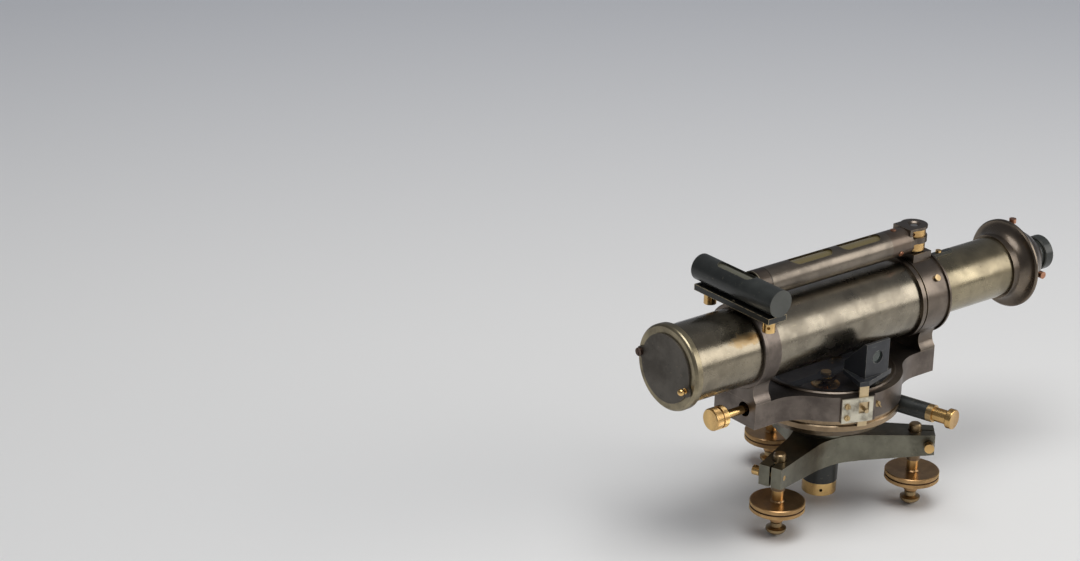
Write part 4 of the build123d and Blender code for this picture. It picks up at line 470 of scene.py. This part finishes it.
class Finish(Enum):
    """The finishes on the instrument."""

    LACQUERED_TUBE = Metal(
        (0.232, 0.206, 0.160),
        (0.088, 0.072, 0.050),
        (0.42, 0.36, 0.24),
        0.24,
        stain_share=0.35,
        scratches=0.5,
        grain=Grain.ABOUT_X,
    )
    SHADE_TUBE = Metal(
        (0.235, 0.204, 0.150),
        (0.088, 0.070, 0.046),
        (0.42, 0.36, 0.24),
        0.24,
        stain_share=0.35,
        scratches=0.5,
        grain=Grain.ABOUT_X,
        zones=(
            Zone((-92.0, -19.0, 145.5), (17.0, 7.0, 5.0), (0.30, 0.20, 0.085), 0.4, 0.9, True, 1.6, 0.8),
            Zone((-120.0, -14.0, 150.0), (16.0, 9.0, 6.0), (0.05, 0.040, 0.03), 0.4, 0.8, True, 1.6, 0.6),
        ),
    )
    DRAW_TUBE = Metal(
        (0.275, 0.235, 0.155),
        (0.10, 0.078, 0.045),
        (0.46, 0.38, 0.24),
        0.25,
        stain_share=0.3,
        scratches=0.7,
        grain=Grain.ABOUT_X,
        zones=(
            # Painted reflection: a dark grey-green strip along the top of the draw tube, where it mirrors the
            # dim studio above.
            Zone((100.0, 0.0, 158.0), (60.0, 17.0, 6.5), (0.060, 0.068, 0.058), 0.4, 0.9, True, 1.2, 0.6),
        ),
    )
    LEVEL_TUBE = Metal(
        (0.175, 0.148, 0.118),
        (0.07, 0.056, 0.045),
        (0.44, 0.37, 0.25),
        0.30,
        stain_share=0.4,
        scratches=0.5,
        grain=Grain.ABOUT_X,
        zones=(
            Zone((-64.6, 0.0, 169.8), (4.6, 40.0, 40.0), (0.085, 0.066, 0.052), 0.35),
            Zone((-69.4, 0.0, 169.8), (0.5, 40.0, 40.0), (0.42, 0.36, 0.25), 0.35),
            Zone((-60.0, 0.0, 169.8), (0.35, 40.0, 40.0), (0.03, 0.025, 0.02), 0.5),
            Zone((52.0, 0.0, 169.8), (8.0, 40.0, 40.0), (0.135, 0.102, 0.078), 0.34),
        ),
    )
    HEAD_BRONZE = Metal(
        (0.165, 0.132, 0.100),
        (0.060, 0.046, 0.036),
        (0.46, 0.37, 0.23),
        0.27,
        stain_share=0.5,
        wear=0.8,
        grain=Grain.ABOUT_X,
    )
    LACQUERED_VERTICAL = Metal(
        (0.42, 0.30, 0.15), (0.12, 0.08, 0.045), (0.62, 0.46, 0.22), 0.28, grain=Grain.ABOUT_Z
    )
    DARK_COLLAR = Metal(
        (0.150, 0.122, 0.098), (0.06, 0.046, 0.038), (0.46, 0.35, 0.21), 0.31, stain_share=0.4
    )
    GUNMETAL = Metal(
        (0.170, 0.142, 0.122),
        (0.075, 0.060, 0.053),
        (0.42, 0.34, 0.25),
        0.38,
        lacquer=0.1,
        zones=(
            Zone((-66.0, -37.0, 89.0), (26.0, 12.0, 9.0), (0.20, 0.125, 0.075), 0.45, 1.0, True, 1.5, 0.7),
            Zone((66.0, -37.0, 89.0), (20.0, 8.0, 6.0), (0.17, 0.11, 0.07), 0.45, 1.0, True, 1.5, 0.6),
        ),
    )
    OLIVE_CASTING = Metal(
        (0.165, 0.158, 0.122), (0.075, 0.070, 0.052), (0.40, 0.35, 0.24), 0.30, lacquer=0.15
    )
    GOLD_LACQUER = Metal((0.76, 0.50, 0.20), (0.38, 0.20, 0.07), (0.86, 0.64, 0.33), 0.22, 0.45)
    FOOT_SCREW = Metal(
        (0.455, 0.272, 0.120),
        (0.20, 0.108, 0.05),
        (0.66, 0.45, 0.22),
        0.30,
        0.5,
        grain=Grain.ABOUT_Z,
        zones=(
            Zone((0.0, 0.0, 29.0), (WHOLE, WHOLE, 3.5), (0.68, 0.45, 0.19), 0.25),
            Zone((0.0, 0.0, 42.0), (WHOLE, WHOLE, 9.5), (0.150, 0.112, 0.074), 0.34),
            Zone((0.0, 0.0, 58.0), (WHOLE, WHOLE, 8.0), (0.31, 0.225, 0.125), 0.32),
            Zone((0.0, 0.0, 21.6), (WHOLE, WHOLE, 0.6), (0.13, 0.075, 0.04), 0.45),
        ),
    )
    COPPER_BROWN = Metal(
        (0.45, 0.29, 0.125), (0.20, 0.11, 0.05), (0.70, 0.50, 0.25), 0.30, 0.5, grain=Grain.ABOUT_Z
    )
    SLOW_COPPER = Metal((0.62, 0.39, 0.145), (0.27, 0.14, 0.06), (0.78, 0.55, 0.27), 0.24, 0.5)
    AGED_SCREW = Metal((0.48, 0.35, 0.175), (0.20, 0.13, 0.07), (0.68, 0.52, 0.28), 0.30, 0.6)
    REDDISH_SCREW = Metal((0.46, 0.22, 0.13), (0.22, 0.09, 0.05), (0.62, 0.36, 0.22), 0.30, 0.4)
    BRONZE_RING = Metal(
        (0.30, 0.215, 0.130),
        (0.12, 0.078, 0.045),
        (0.58, 0.43, 0.24),
        0.30,
        0.5,
        wear=0.9,
        wear_width=0.5 * MM,
        grain=Grain.ABOUT_Z,
    )
    BLACK_SATIN = Metal(
        (0.024, 0.026, 0.024),
        (0.048, 0.052, 0.046),
        (0.36, 0.32, 0.22),
        0.38,
        0.5,
        scratches=0.5,
        lacquer=0.2,
        metallic=0.3,
        zones=(
            Zone((-79.0, -37.2, 172.5), (12.0, 0.7, 12.0), (0.105, 0.108, 0.098), 0.40, 0.8),
            Zone((-79.0, 37.2, 172.5), (12.0, 0.7, 12.0), (0.105, 0.108, 0.098), 0.40, 0.8),
            Zone((41.0, -59.0, 73.8), (7.0, 7.0, 7.0), (0.52, 0.36, 0.17), 0.28, 1.0, True),
            Zone((95.6, 0.0, 155.2), (2.6, 2.6, 1.9), (0.72, 0.47, 0.19), 0.26, 1.0, True),
            Zone((170.0, 0.0, 131.0), (6.0, 9.0, 9.0), (0.15, 0.075, 0.05), 0.4, 1.0, True),
        ),
    )
    EDGED_BLACK = Metal(
        (0.030, 0.031, 0.028),
        (0.05, 0.052, 0.045),
        (0.62, 0.50, 0.30),
        0.40,
        0.5,
        wear=1.5,
        wear_width=0.7 * MM,
        lacquer=0.15,
        metallic=0.4,
    )
    PRISM_BLACK = Metal(
        (0.034, 0.036, 0.041), (0.02, 0.02, 0.022), (0.46, 0.44, 0.38), 0.34, 0.4, lacquer=0.2, metallic=0.5
    )
    SILVERED = Metal(
        (0.66, 0.62, 0.50),
        (0.22, 0.19, 0.14),
        (0.60, 0.50, 0.34),
        0.46,
        0.75,
        scratches=0.8,
        metallic=0.75,
        patch=150.0,
    )
    SHUTTER_BROWN = Metal(
        (0.108, 0.096, 0.080),
        (0.058, 0.048, 0.038),
        (0.34, 0.27, 0.19),
        0.46,
        0.6,
        scratches=1.0,
        lacquer=0.0,
        metallic=0.6,
        zones=(Zone((-141.5, -19.2, 122.9), (3.6, 3.4, 3.4), (0.76, 0.50, 0.20), 0.22, 1.0, True),),
    )
    DARK_SCREW = Metal((0.130, 0.080, 0.060), (0.06, 0.036, 0.03), (0.40, 0.26, 0.17), 0.36, 0.5)
    SHADE_BRASS = Metal((0.30, 0.255, 0.165), (0.11, 0.09, 0.06), (0.58, 0.48, 0.29), 0.33, 0.7, wear=1.0)
    STEEL = Metal((0.46, 0.45, 0.43), (0.26, 0.24, 0.21), (0.6, 0.59, 0.57), 0.30, 0.4)
    TAN_BRASS = Metal((0.58, 0.45, 0.27), (0.33, 0.24, 0.13), (0.72, 0.58, 0.36), 0.34, 0.4)
    LENS = Glass((0.78, 0.86, 0.84), 0.30)
    PRISM_LENS = Glass((0.045, 0.060, 0.052), 0.84)
    VIAL = Glass((0.150, 0.118, 0.050), 0.90, 0.10)
    CROSS_VIAL = Glass((0.120, 0.115, 0.080), 0.90, 0.08)
    WINDOW = Glass((0.05, 0.05, 0.06), 0.14)
    CARD = Metal(
        (0.026, 0.027, 0.030),
        (0.05, 0.048, 0.046),
        (0.12, 0.11, 0.10),
        0.45,
        0.4,
        lacquer=0.0,
        metallic=0.2,
        zones=(Zone((0.0, 0.0, 92.6), (4.0, 4.0, 2.4), (0.76, 0.50, 0.20), 0.25, 1.0, True),),
    )
    PALE_MARK = Paint((0.42, 0.40, 0.35))
    SPIRIT = Glass((0.80, 0.84, 0.60), 0.35)


class Paintbox:
    """Makes each finish once and hands it out."""

    def __init__(self) -> None:
        """Start with no material made."""
        self.made: dict[Finish, bpy.types.Material] = {}

    def get(self, finish: Finish) -> bpy.types.Material:
        """Return the material of a finish."""
        if finish not in self.made:
            self.made[finish] = finish.value.make(finish.name.lower())
        return self.made[finish]


class Workshop:
    """Keeps the frame and the paintbox, and holds the tools that all the pieces are made with.
    """

    def __init__(self, frame: dict[str, Any]) -> None:
        """Keep the frame and open a paintbox."""
        self.frame = frame
        self.paint = Paintbox()

    def coat(self, finish: Finish, *nodes: str) -> None:
        """Give CAD nodes a finish.

        Args:
            finish: The finish.
            nodes: The nodes' names.
        """
        for name in nodes:
            thing = self.frame["nodes"][name]
            thing.data.materials.clear()
            thing.data.materials.append(self.paint.get(finish))

    @staticmethod
    def clear() -> None:
        """Deselect everything, so that the next operator acts only on what it adds."""
        if bpy.context.object is not None and bpy.context.object.mode != "OBJECT":
            bpy.ops.object.mode_set(mode="OBJECT")
        bpy.ops.object.select_all(action="DESELECT")

    @staticmethod
    def pick(piece: bpy.types.Object) -> None:
        """Make one piece the selected and active one."""
        Workshop.clear()
        piece.select_set(True)
        bpy.context.view_layer.objects.active = piece

    @staticmethod
    def settle(piece: bpy.types.Object) -> None:
        """Put the piece's place into its mesh."""
        Workshop.pick(piece)
        bpy.ops.object.transform_apply(location=True, rotation=True, scale=True)

    @staticmethod
    def choose(piece: bpy.types.Object, kind: str, test: Callable[[Any], bool]) -> None:
        """In edit mode, select the elements that pass a test.

        Args:
            piece: The piece in edit mode.
            kind: "vertices", "edges" or "polygons".
            test: Says whether an element is wanted.
        """
        bpy.ops.mesh.select_all(action="DESELECT")
        bpy.ops.object.mode_set(mode="OBJECT")
        for element in getattr(piece.data, kind):
            element.select = test(element)
        bpy.ops.object.mode_set(mode="EDIT")

    def finish(
        self, piece: bpy.types.Object, name: str, body: str, finish: Finish, slot: str
    ) -> bpy.types.Object:
        """Name, dress and hang a piece on its body.

        Args:
            piece: The piece, in place.
            name: Its name.
            body: The CAD body that it rides on.
            finish: Its finish.
            slot: The name of a material slot in the record; it is not used.

        Returns:
            The same piece.
        """
        self.settle(piece)
        piece.name = name
        piece.data.name = name
        piece.data.materials.clear()
        piece.data.materials.append(self.paint.get(finish))
        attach(piece, body)
        LOG.info("piece %s on %s, %d faces", name, body, len(piece.data.polygons))
        return piece


def turned(direction: Point) -> Matrix:
    """Return the rotation that takes +Z to a direction."""
    return Vector(direction).to_track_quat("Z", "Y").to_matrix().to_4x4()


@dataclass
class MilledBand:
    """A straight-milled band round a knob or a screw head.

    Attributes:
        radius: The radius of the ridges.
        width: The band's width along its axis.
        ridges: The number of ridges.
        depth: The depth of the grooves between them.
    """

    radius: float
    width: float
    ridges: int
    depth: float = 0.32 * MM

    def build(self, shop: Workshop, centre: Point, direction: Point) -> bpy.types.Object:
        """Model the band.

        Args:
            shop: The workshop.
            centre: The band's centre.
            direction: The direction of its axis.

        Returns:
            The band, in place.
        """
        shop.clear()
        bpy.ops.mesh.primitive_cylinder_add(
            vertices=2 * self.ridges, radius=self.radius, depth=self.width, end_fill_type="NOTHING"
        )
        band = bpy.context.object
        bpy.ops.object.mode_set(mode="EDIT")
        step = math.pi / self.ridges
        shop.choose(
            band,
            "vertices",
            lambda vertex: round(math.atan2(vertex.co.y, vertex.co.x) / step) % 2 == 0,
        )
        shrink = (self.radius - self.depth) / self.radius
        bpy.ops.transform.resize(value=(shrink, shrink, 1.0))
        bpy.ops.mesh.select_all(action="SELECT")
        bpy.ops.mesh.normals_make_consistent(inside=False)
        bpy.ops.object.mode_set(mode="OBJECT")
        wall = band.modifiers.new("wall", "SOLIDIFY")
        wall.thickness = 0.5 * MM
        wall.offset = -1.0
        bpy.ops.object.modifier_apply(modifier=wall.name)
        band.matrix_world = Matrix.Translation(centre) @ turned(direction)
        return band


@dataclass
class SlottedHead:
    """A low screw head with a driver slot.

    Attributes:
        radius: The head's radius.
        height: Its height.
        slot_w: The slot's width.
    """

    radius: float
    height: float
    slot_w: float = 0.45 * MM

    def build(self, shop: Workshop, foot: Point, direction: Point) -> bpy.types.Object:
        """Model the head.

        Args:
            shop: The workshop.
            foot: The middle of its underside.
            direction: The direction that it faces.

        Returns:
            The head, in place.
        """
        shop.clear()
        bpy.ops.mesh.primitive_cylinder_add(
            vertices=32, radius=self.radius, depth=self.height, location=(0.0, 0.0, self.height / 2)
        )
        head = bpy.context.object
        shop.settle(head)
        bpy.ops.object.mode_set(mode="EDIT")
        shop.choose(head, "polygons", lambda face: face.normal.z > 0.9)
        bpy.ops.mesh.inset(thickness=0.25 * self.radius)
        bpy.ops.transform.translate(value=(0.0, 0.0, 0.15 * self.height))
        bpy.ops.object.mode_set(mode="OBJECT")
        shop.clear()
        bpy.ops.mesh.primitive_cube_add(size=1.0, location=(0.0, 0.0, 1.1 * self.height))
        cutter = bpy.context.object
        cutter.scale = (4 * self.radius, self.slot_w, self.height)
        shop.settle(cutter)
        shop.pick(head)
        cut = head.modifiers.new("slot", "BOOLEAN")
        cut.operation = "DIFFERENCE"
        cut.object = cutter
        bpy.ops.object.modifier_apply(modifier=cut.name)
        bpy.data.objects.remove(cutter, do_unlink=True)
        head.matrix_world = Matrix.Translation(foot) @ turned(direction)
        return head


@dataclass
class Base:
    """The tribrach, its three levelling screws and the socket."""

    head_r: float = 17.7 * MM
    head_z: float = 18.4 * MM
    head_t: float = 6.4 * MM
    groove_w: float = 1.0 * MM
    ridges: int = 150
    margin: float = 0.35 * MM

    def dress(self, shop: Workshop) -> None:
        """Give the base its finishes."""
        shop.coat(Finish.OLIVE_CASTING, "tribrach")
        shop.coat(Finish.BLACK_SATIN, "centre_socket")
        shop.coat(Finish.GOLD_LACQUER, "socket_cap", "arm_clamp_screws")
        for arm in FOOT_ANGLES:
            shop.coat(Finish.FOOT_SCREW, f"foot_screw_{arm}")
            shop.coat(Finish.LACQUERED_VERTICAL, f"ball_foot_{arm}")

    def build(self, shop: Workshop) -> None:
        """Mill the heads of the levelling screws."""
        half = (self.head_t - self.groove_w) / 2
        band = MilledBand(self.head_r + 0.16 * MM, half - 2 * self.margin, self.ridges)
        for arm, angle in FOOT_ANGLES.items():
            x = FOOT_CIRCLE_R * math.cos(math.radians(angle))
            y = FOOT_CIRCLE_R * math.sin(math.radians(angle))
            for place, z in (("low", self.head_z + half / 2), ("high", self.head_z + self.head_t - half / 2)):
                piece = band.build(shop, (x, y, z), (0.0, 0.0, 1.0))
                shop.finish(
                    piece, f"milling_{arm}_{place}", f"foot_screw_{arm}", Finish.COPPER_BROWN, "copper_brown"
                )


@dataclass
class SlowMotion:
    """The clamp ring with its clamp and slow-motion screws."""

    clamp_angle: float = 100.0
    clamp_r: float = 8.0 * MM
    clamp_start: float = 48.8 * MM
    clamp_t: float = 5.6 * MM
    clamp_z: float = 63.0 * MM

    def dress(self, shop: Workshop) -> None:
        """Give the clamp and the slow motion their finishes."""
        shop.coat(Finish.BRONZE_RING, "clamp_ring")
        shop.coat(Finish.BLACK_SATIN, "tangent_barrel")
        shop.coat(Finish.SLOW_COPPER, "tangent_plunger", "tangent_knob")
        shop.coat(Finish.GOLD_LACQUER, "clamp_screw")

    def build(self, shop: Workshop) -> None:
        """Mill the clamp screw's head."""
        turn = math.radians(self.clamp_angle)
        out = (math.cos(turn), math.sin(turn), 0.0)
        reach = self.clamp_start + self.clamp_t / 2
        band = MilledBand(self.clamp_r + 0.15 * MM, self.clamp_t - 1.6 * MM, 72)
        piece = band.build(shop, (out[0] * reach, out[1] * reach, self.clamp_z), out)
        shop.finish(piece, "milling_clamp", "clamp_screw", Finish.GOLD_LACQUER, "gold_lacquer")


@dataclass
class Stage:
    """The stage with its collars and the lifter's screw."""

    knob_r: float = 7.2 * MM
    knob_face: float = 107.0 * MM
    knob_t: float = 11.0 * MM
    knob_y: float = -8.7 * MM
    knob_z: float = 90.5 * MM

    def dress(self, shop: Workshop) -> None:
        """Give the stage and what stands on it their finishes."""
        shop.coat(Finish.GUNMETAL, "stage", "front_collar")
        shop.coat(Finish.EDGED_BLACK, "cross_plate", "level_hinge")
        shop.coat(Finish.DARK_COLLAR, "rear_collar", "pinion_box")
        shop.coat(Finish.STEEL, "spindle", "spindle_nut", "focus_pinion")
        shop.coat(Finish.GOLD_LACQUER, "lifter_screw", "focus_knob")
        shop.coat(Finish.AGED_SCREW, "fixing_screws")

    def build(self, shop: Workshop) -> None:
        """Mill the two bands of the lifter screw's head and the focusing head."""
        middle = self.knob_face - 0.55 * self.knob_t
        back = self.knob_face - self.knob_t
        for name, low, high in (
            ("inner", back + 0.8 * MM, middle - 0.8 * MM),
            ("outer", middle + 0.8 * MM, self.knob_face - 0.8 * MM),
        ):
            band = MilledBand(self.knob_r + 0.14 * MM, high - low, 64, 0.26 * MM)
            piece = band.build(shop, (-(low + high) / 2, self.knob_y, self.knob_z), (1.0, 0.0, 0.0))
            shop.finish(piece, f"milling_lifter_{name}", "lifter_screw", Finish.GOLD_LACQUER, "gold_lacquer")
        low_corner, high_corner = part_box("focus_knob")
        centre = (low_corner + high_corner) / 2
        band = MilledBand((high_corner.x - low_corner.x) / 2 + 0.14 * MM, 5.6 * MM, 64, 0.26 * MM)
        piece = band.build(shop, tuple(centre), (0.0, 1.0, 0.0))
        shop.finish(piece, "milling_focus", "focus", Finish.GOLD_LACQUER, "gold_lacquer")


@dataclass
class Compass:
    """The compass in the stage, its card and its reading prism."""

    card_top: float = 91.1 * MM
    figure_r: float = 34.6 * MM
    rim_r: float = 40.2 * MM
    tick_step: int = 5

    def dress(self, shop: Workshop) -> None:
        """Give the compass and the prism their finishes."""
        shop.coat(Finish.DARK_COLLAR, "compass_bezel")
        shop.coat(Finish.WINDOW, "compass_glass")
        shop.coat(Finish.CARD, "compass_card")
        shop.coat(Finish.GOLD_LACQUER, "compass_pivot")
        shop.coat(Finish.DARK_SCREW, "lifter_ring")
        shop.coat(Finish.SILVERED, "prism_guide")
        shop.coat(Finish.TAN_BRASS, "prism_slide")
        shop.coat(Finish.PRISM_BLACK, "prism_box")
        shop.coat(Finish.PRISM_LENS, "prism_glass")

    def build(self, shop: Workshop) -> None:
        """Divide the card's ring and number it in tens of degrees."""
        marks: list[bpy.types.Object] = []
        for degree in range(0, 360, self.tick_step):
            length = (3.0 if degree % 10 == 0 else 1.8) * MM
            turn = math.radians(degree)
            shop.clear()
            bpy.ops.mesh.primitive_cube_add(size=1.0)
            tick = bpy.context.object
            radius = self.rim_r - length / 2
            tick.matrix_world = (
                Matrix.Rotation(turn, 4, "Z")
                @ Matrix.Translation((radius, 0.0, self.card_top + 0.02 * MM))
                @ Matrix.Diagonal((length, 0.22 * MM, 0.05 * MM, 1.0))
            )
            marks.append(tick)
        for degree in range(0, 360, 30):
            shop.clear()
            bpy.ops.object.text_add()
            figure = bpy.context.object
            figure.data.body = str(degree)
            figure.data.size = 3.4 * MM
            figure.data.align_x = "CENTER"
            figure.data.align_y = "CENTER"
            figure.data.extrude = 0.02 * MM
            bpy.ops.object.convert(target="MESH")
            turn = math.radians(90.0 - degree)
            figure.matrix_world = (
                Matrix.Rotation(turn, 4, "Z")
                @ Matrix.Translation((self.figure_r, 0.0, self.card_top + 0.02 * MM))
                @ Matrix.Rotation(math.radians(-90.0), 4, "Z")
            )
            marks.append(figure)
        for mark in marks:
            shop.settle(mark)
        shop.clear()
        for mark in marks:
            mark.select_set(True)
        bpy.context.view_layer.objects.active = marks[0]
        bpy.ops.object.join()
        shop.finish(marks[0], "card_divisions", "compass_card", Finish.PALE_MARK, "card")


@dataclass
class Telescope:
    """The telescope from its sun shade to its eyepiece."""

    def dress(self, shop: Workshop) -> None:
        """Give the telescope its finishes."""
        shop.coat(Finish.LACQUERED_TUBE, "main_barrel", "objective_cell")
        shop.coat(Finish.SHADE_TUBE, "ray_shade")
        shop.coat(Finish.DRAW_TUBE, "draw_tube")
        shop.coat(Finish.HEAD_BRONZE, "eye_head")
        shop.coat(Finish.SHADE_BRASS, "shade_ring")
        shop.coat(Finish.SHUTTER_BROWN, "shutter")
        shop.coat(Finish.DARK_SCREW, "shutter_pivot")
        shop.coat(Finish.REDDISH_SCREW, "diaphragm_screws")
        shop.coat(Finish.BLACK_SATIN, "eyepiece", "reticle", "tube_key")
        shop.coat(Finish.LENS, "objective_lens", "eyepiece_lens")


@dataclass
class Levels:
    """The main level over the telescope and the cross level in front of it."""

    tube_r: float = 9.5 * MM
    vial_r: float = 8.2 * MM
    main_z: float = 169.8 * MM
    cross_x: float = -79.0 * MM
    cross_z: float = 172.5 * MM
    cross_vial_r: float = 7.4 * MM
    bubble_l: float = 13.0 * MM
    bubble_w: float = 6.4 * MM
    bubble_h: float = 3.0 * MM
    bubble_depth: float = 1.9 * MM
    cross_bubble_y: float = 4.0 * MM
    end_screw_x: float = 52.0 * MM
    end_screw_angles: tuple[float, ...] = (90.0, -26.0, 206.0)

    def dress(self, shop: Workshop) -> None:
        """Give the levels their finishes."""
        shop.coat(Finish.LEVEL_TUBE, "level_tube")
        shop.coat(Finish.DARK_COLLAR, "level_eye")
        shop.coat(Finish.GOLD_LACQUER, "level_nut_lower", "level_nut_upper")
        shop.coat(Finish.GOLD_LACQUER, "cross_screw_near", "cross_screw_far")
        shop.coat(Finish.STEEL, "level_stud")
        shop.coat(Finish.BLACK_SATIN, "cross_tube")
        shop.coat(Finish.VIAL, "level_vial")
        shop.coat(Finish.CROSS_VIAL, "cross_vial")

    def bubble(self, shop: Workshop, name: str, body: str, centre: Point, along: Point) -> None:
        """Add the bubble under the top of a vial.

        Args:
            shop: The workshop.
            name: The piece's name.
            body: The level's body.
            centre: The bubble's centre.
            along: The vial's direction.
        """
        shop.clear()
        bpy.ops.mesh.primitive_uv_sphere_add(segments=32, ring_count=16, radius=1.0)
        piece = bpy.context.object
        size = Matrix.Diagonal((self.bubble_w / 2, self.bubble_h / 2, self.bubble_l / 2, 1.0))
        piece.matrix_world = Matrix.Translation(centre) @ turned(along) @ size
        bpy.ops.object.shade_smooth()
        shop.finish(piece, name, body, Finish.SPIRIT, "vial_glass")

    def build(self, shop: Workshop) -> None:
        """Add both bubbles and the three screws that hold the main level's rear end."""
        screw = SlottedHead(1.9 * MM, 0.55 * MM)
        for number, angle in enumerate(self.end_screw_angles):
            turn = math.radians(angle)
            out = (0.0, -math.cos(turn), math.sin(turn))
            reach = self.tube_r - 0.1 * MM
            foot = (self.end_screw_x, out[1] * reach, self.main_z + out[2] * reach)
            piece = screw.build(shop, foot, out)
            name = f"level_end_screw_{number}"
            shop.finish(piece, name, "main_level", Finish.REDDISH_SCREW, "copper_brown")
        main_top = self.main_z + self.vial_r - self.bubble_depth
        cross_top = self.cross_z + self.cross_vial_r - self.bubble_depth
        cross_place = (self.cross_x, self.cross_bubble_y, cross_top)
        self.bubble(shop, "main_bubble", "main_level", (0.0, 0.0, main_top), (1.0, 0.0, 0.0))
        self.bubble(shop, "cross_bubble", "cross_level", cross_place, (0.0, 1.0, 0.0))


@dataclass(frozen=True)
class Lamp:
    """A soft rectangular lamp that the camera doesn't see.

    Attributes:
        place: Where it hangs.
        aim: The point that it faces.
        size: Its width and height.
        power: Its power, in watts.
        colour: Its colour.
        spread: How widely its light fans out, in degrees.
    """

    place: Point
    aim: Point
    size: tuple[float, float]
    power: float
    colour: Colour
    spread: float = 180.0

    def hang(self, name: str) -> None:
        """Add the lamp to the scene under a name."""
        data = bpy.data.lights.new(name, "AREA")
        data.shape = "RECTANGLE"
        data.size, data.size_y = self.size
        data.energy = self.power
        data.color = self.colour
        data.spread = math.radians(self.spread)
        lamp = bpy.data.objects.new(name, data)
        bpy.context.scene.collection.objects.link(lamp)
        aim = Vector(self.aim) - Vector(self.place)
        lamp.matrix_world = Matrix.Translation(self.place) @ aim.to_track_quat("-Z", "Y").to_matrix().to_4x4()
        lamp.visible_camera = False


@dataclass
class Studio:
    """The pale floor, the soft lamps and the camera."""

    camera_place: Point = (-1.18286, -1.19296, 0.84821)
    pitch: float = 23.0
    yaw: float = -35.93
    roll: float = 0.27
    focal_px: float = 2809.6
    principal: tuple[float, float] = (429.3, 297.3)
    picture: tuple[int, int] = (1080, 561)
    floor_size: float = 14.0
    floor_near: Colour = (0.86, 0.85, 0.83)
    # The far floor colour is painted shade: greyer and bluer, standing in for the lamps' light falling off.
    floor_far: Colour = (0.66, 0.685, 0.745)
    world: Colour = (0.17, 0.175, 0.19)
    lamps: dict[str, Lamp] = field(
        default_factory=lambda: {
            "window": Lamp((1.19, -1.07, 0.72), (0.0, 0.0, 0.13), (1.2, 1.0), 5.2, (1.0, 0.975, 0.94), 120.0),
            "overhead": Lamp((-0.25, -0.35, 2.1), (0.0, 0.0, 0.1), (1.5, 1.5), 32.0, (0.98, 0.99, 1.0)),
        }
    )

    def build_camera(self) -> None:
        """Set the camera where the photograph was taken from."""
        width, height = self.picture
        data = bpy.data.cameras.new("camera")
        data.sensor_width = 36.0
        data.sensor_fit = "HORIZONTAL"
        data.lens = self.focal_px / width * 36.0
        data.shift_x = (width / 2 - self.principal[0]) / width
        data.shift_y = (self.principal[1] - height / 2) / width
        data.clip_start = 0.05
        data.clip_end = 50.0
        camera = bpy.data.objects.new("camera", data)
        bpy.context.scene.collection.objects.link(camera)
        camera.matrix_world = (
            Matrix.Translation(self.camera_place)
            @ Matrix.Rotation(math.radians(self.yaw), 4, "Z")
            @ Matrix.Rotation(math.radians(90.0 - self.pitch), 4, "X")
            @ Matrix.Rotation(math.radians(self.roll), 4, "Z")
        )
        bpy.context.scene.camera = camera

    def build_floor(self) -> None:
        """Lay the floor, which is white by the instrument and painted greyer and bluer beyond it: painted
        shade where the lamps' light falls off.
        """
        Workshop.clear()
        bpy.ops.mesh.primitive_plane_add(size=self.floor_size)
        floor = bpy.context.object
        floor.name = "floor"
        bench = Bench("floor")
        where = bench.place()
        # Painted shade: the floor dims from the near white to the far colour away from the camera.
        away = bench.axis(where, "X") * 0.587 + bench.axis(where, "Y") * 0.81
        share = bench.span(away, 0.10, 1.9)
        colour = bench.blend(share, self.floor_near, self.floor_far)
        floor.data.materials.append(bench.surface({"Base Color": colour, "Roughness": 0.55}))

    def build_lamps(self) -> None:
        """Hang the soft lamps and set the world's dim light."""
        for name, lamp in self.lamps.items():
            lamp.hang(name)
        world = bpy.data.worlds.new("studio")
        world.use_nodes = True
        background = world.node_tree.nodes["Background"]
        background.inputs["Color"].default_value = (*self.world, 1.0)
        background.inputs["Strength"].default_value = 1.0
        bpy.context.scene.world = world

    def build(self) -> None:
        """Build the whole studio."""
        self.build_camera()
        self.build_floor()
        self.build_lamps()
        bpy.context.scene.view_settings.view_transform = "Standard"


def main() -> None:
    """Load the frame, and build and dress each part."""
    logging.basicConfig(level=logging.INFO, format="%(name)s: %(message)s")
    shop = Workshop(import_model())
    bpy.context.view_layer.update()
    Studio().build()
    for part in (Base(), SlowMotion(), Stage(), Compass(), Telescope(), Levels()):
        part.dress(shop)
        if hasattr(part, "build"):
            part.build(shop)
        LOG.info("%s done", type(part).__name__)


if __name__ == "__main__":
    main()
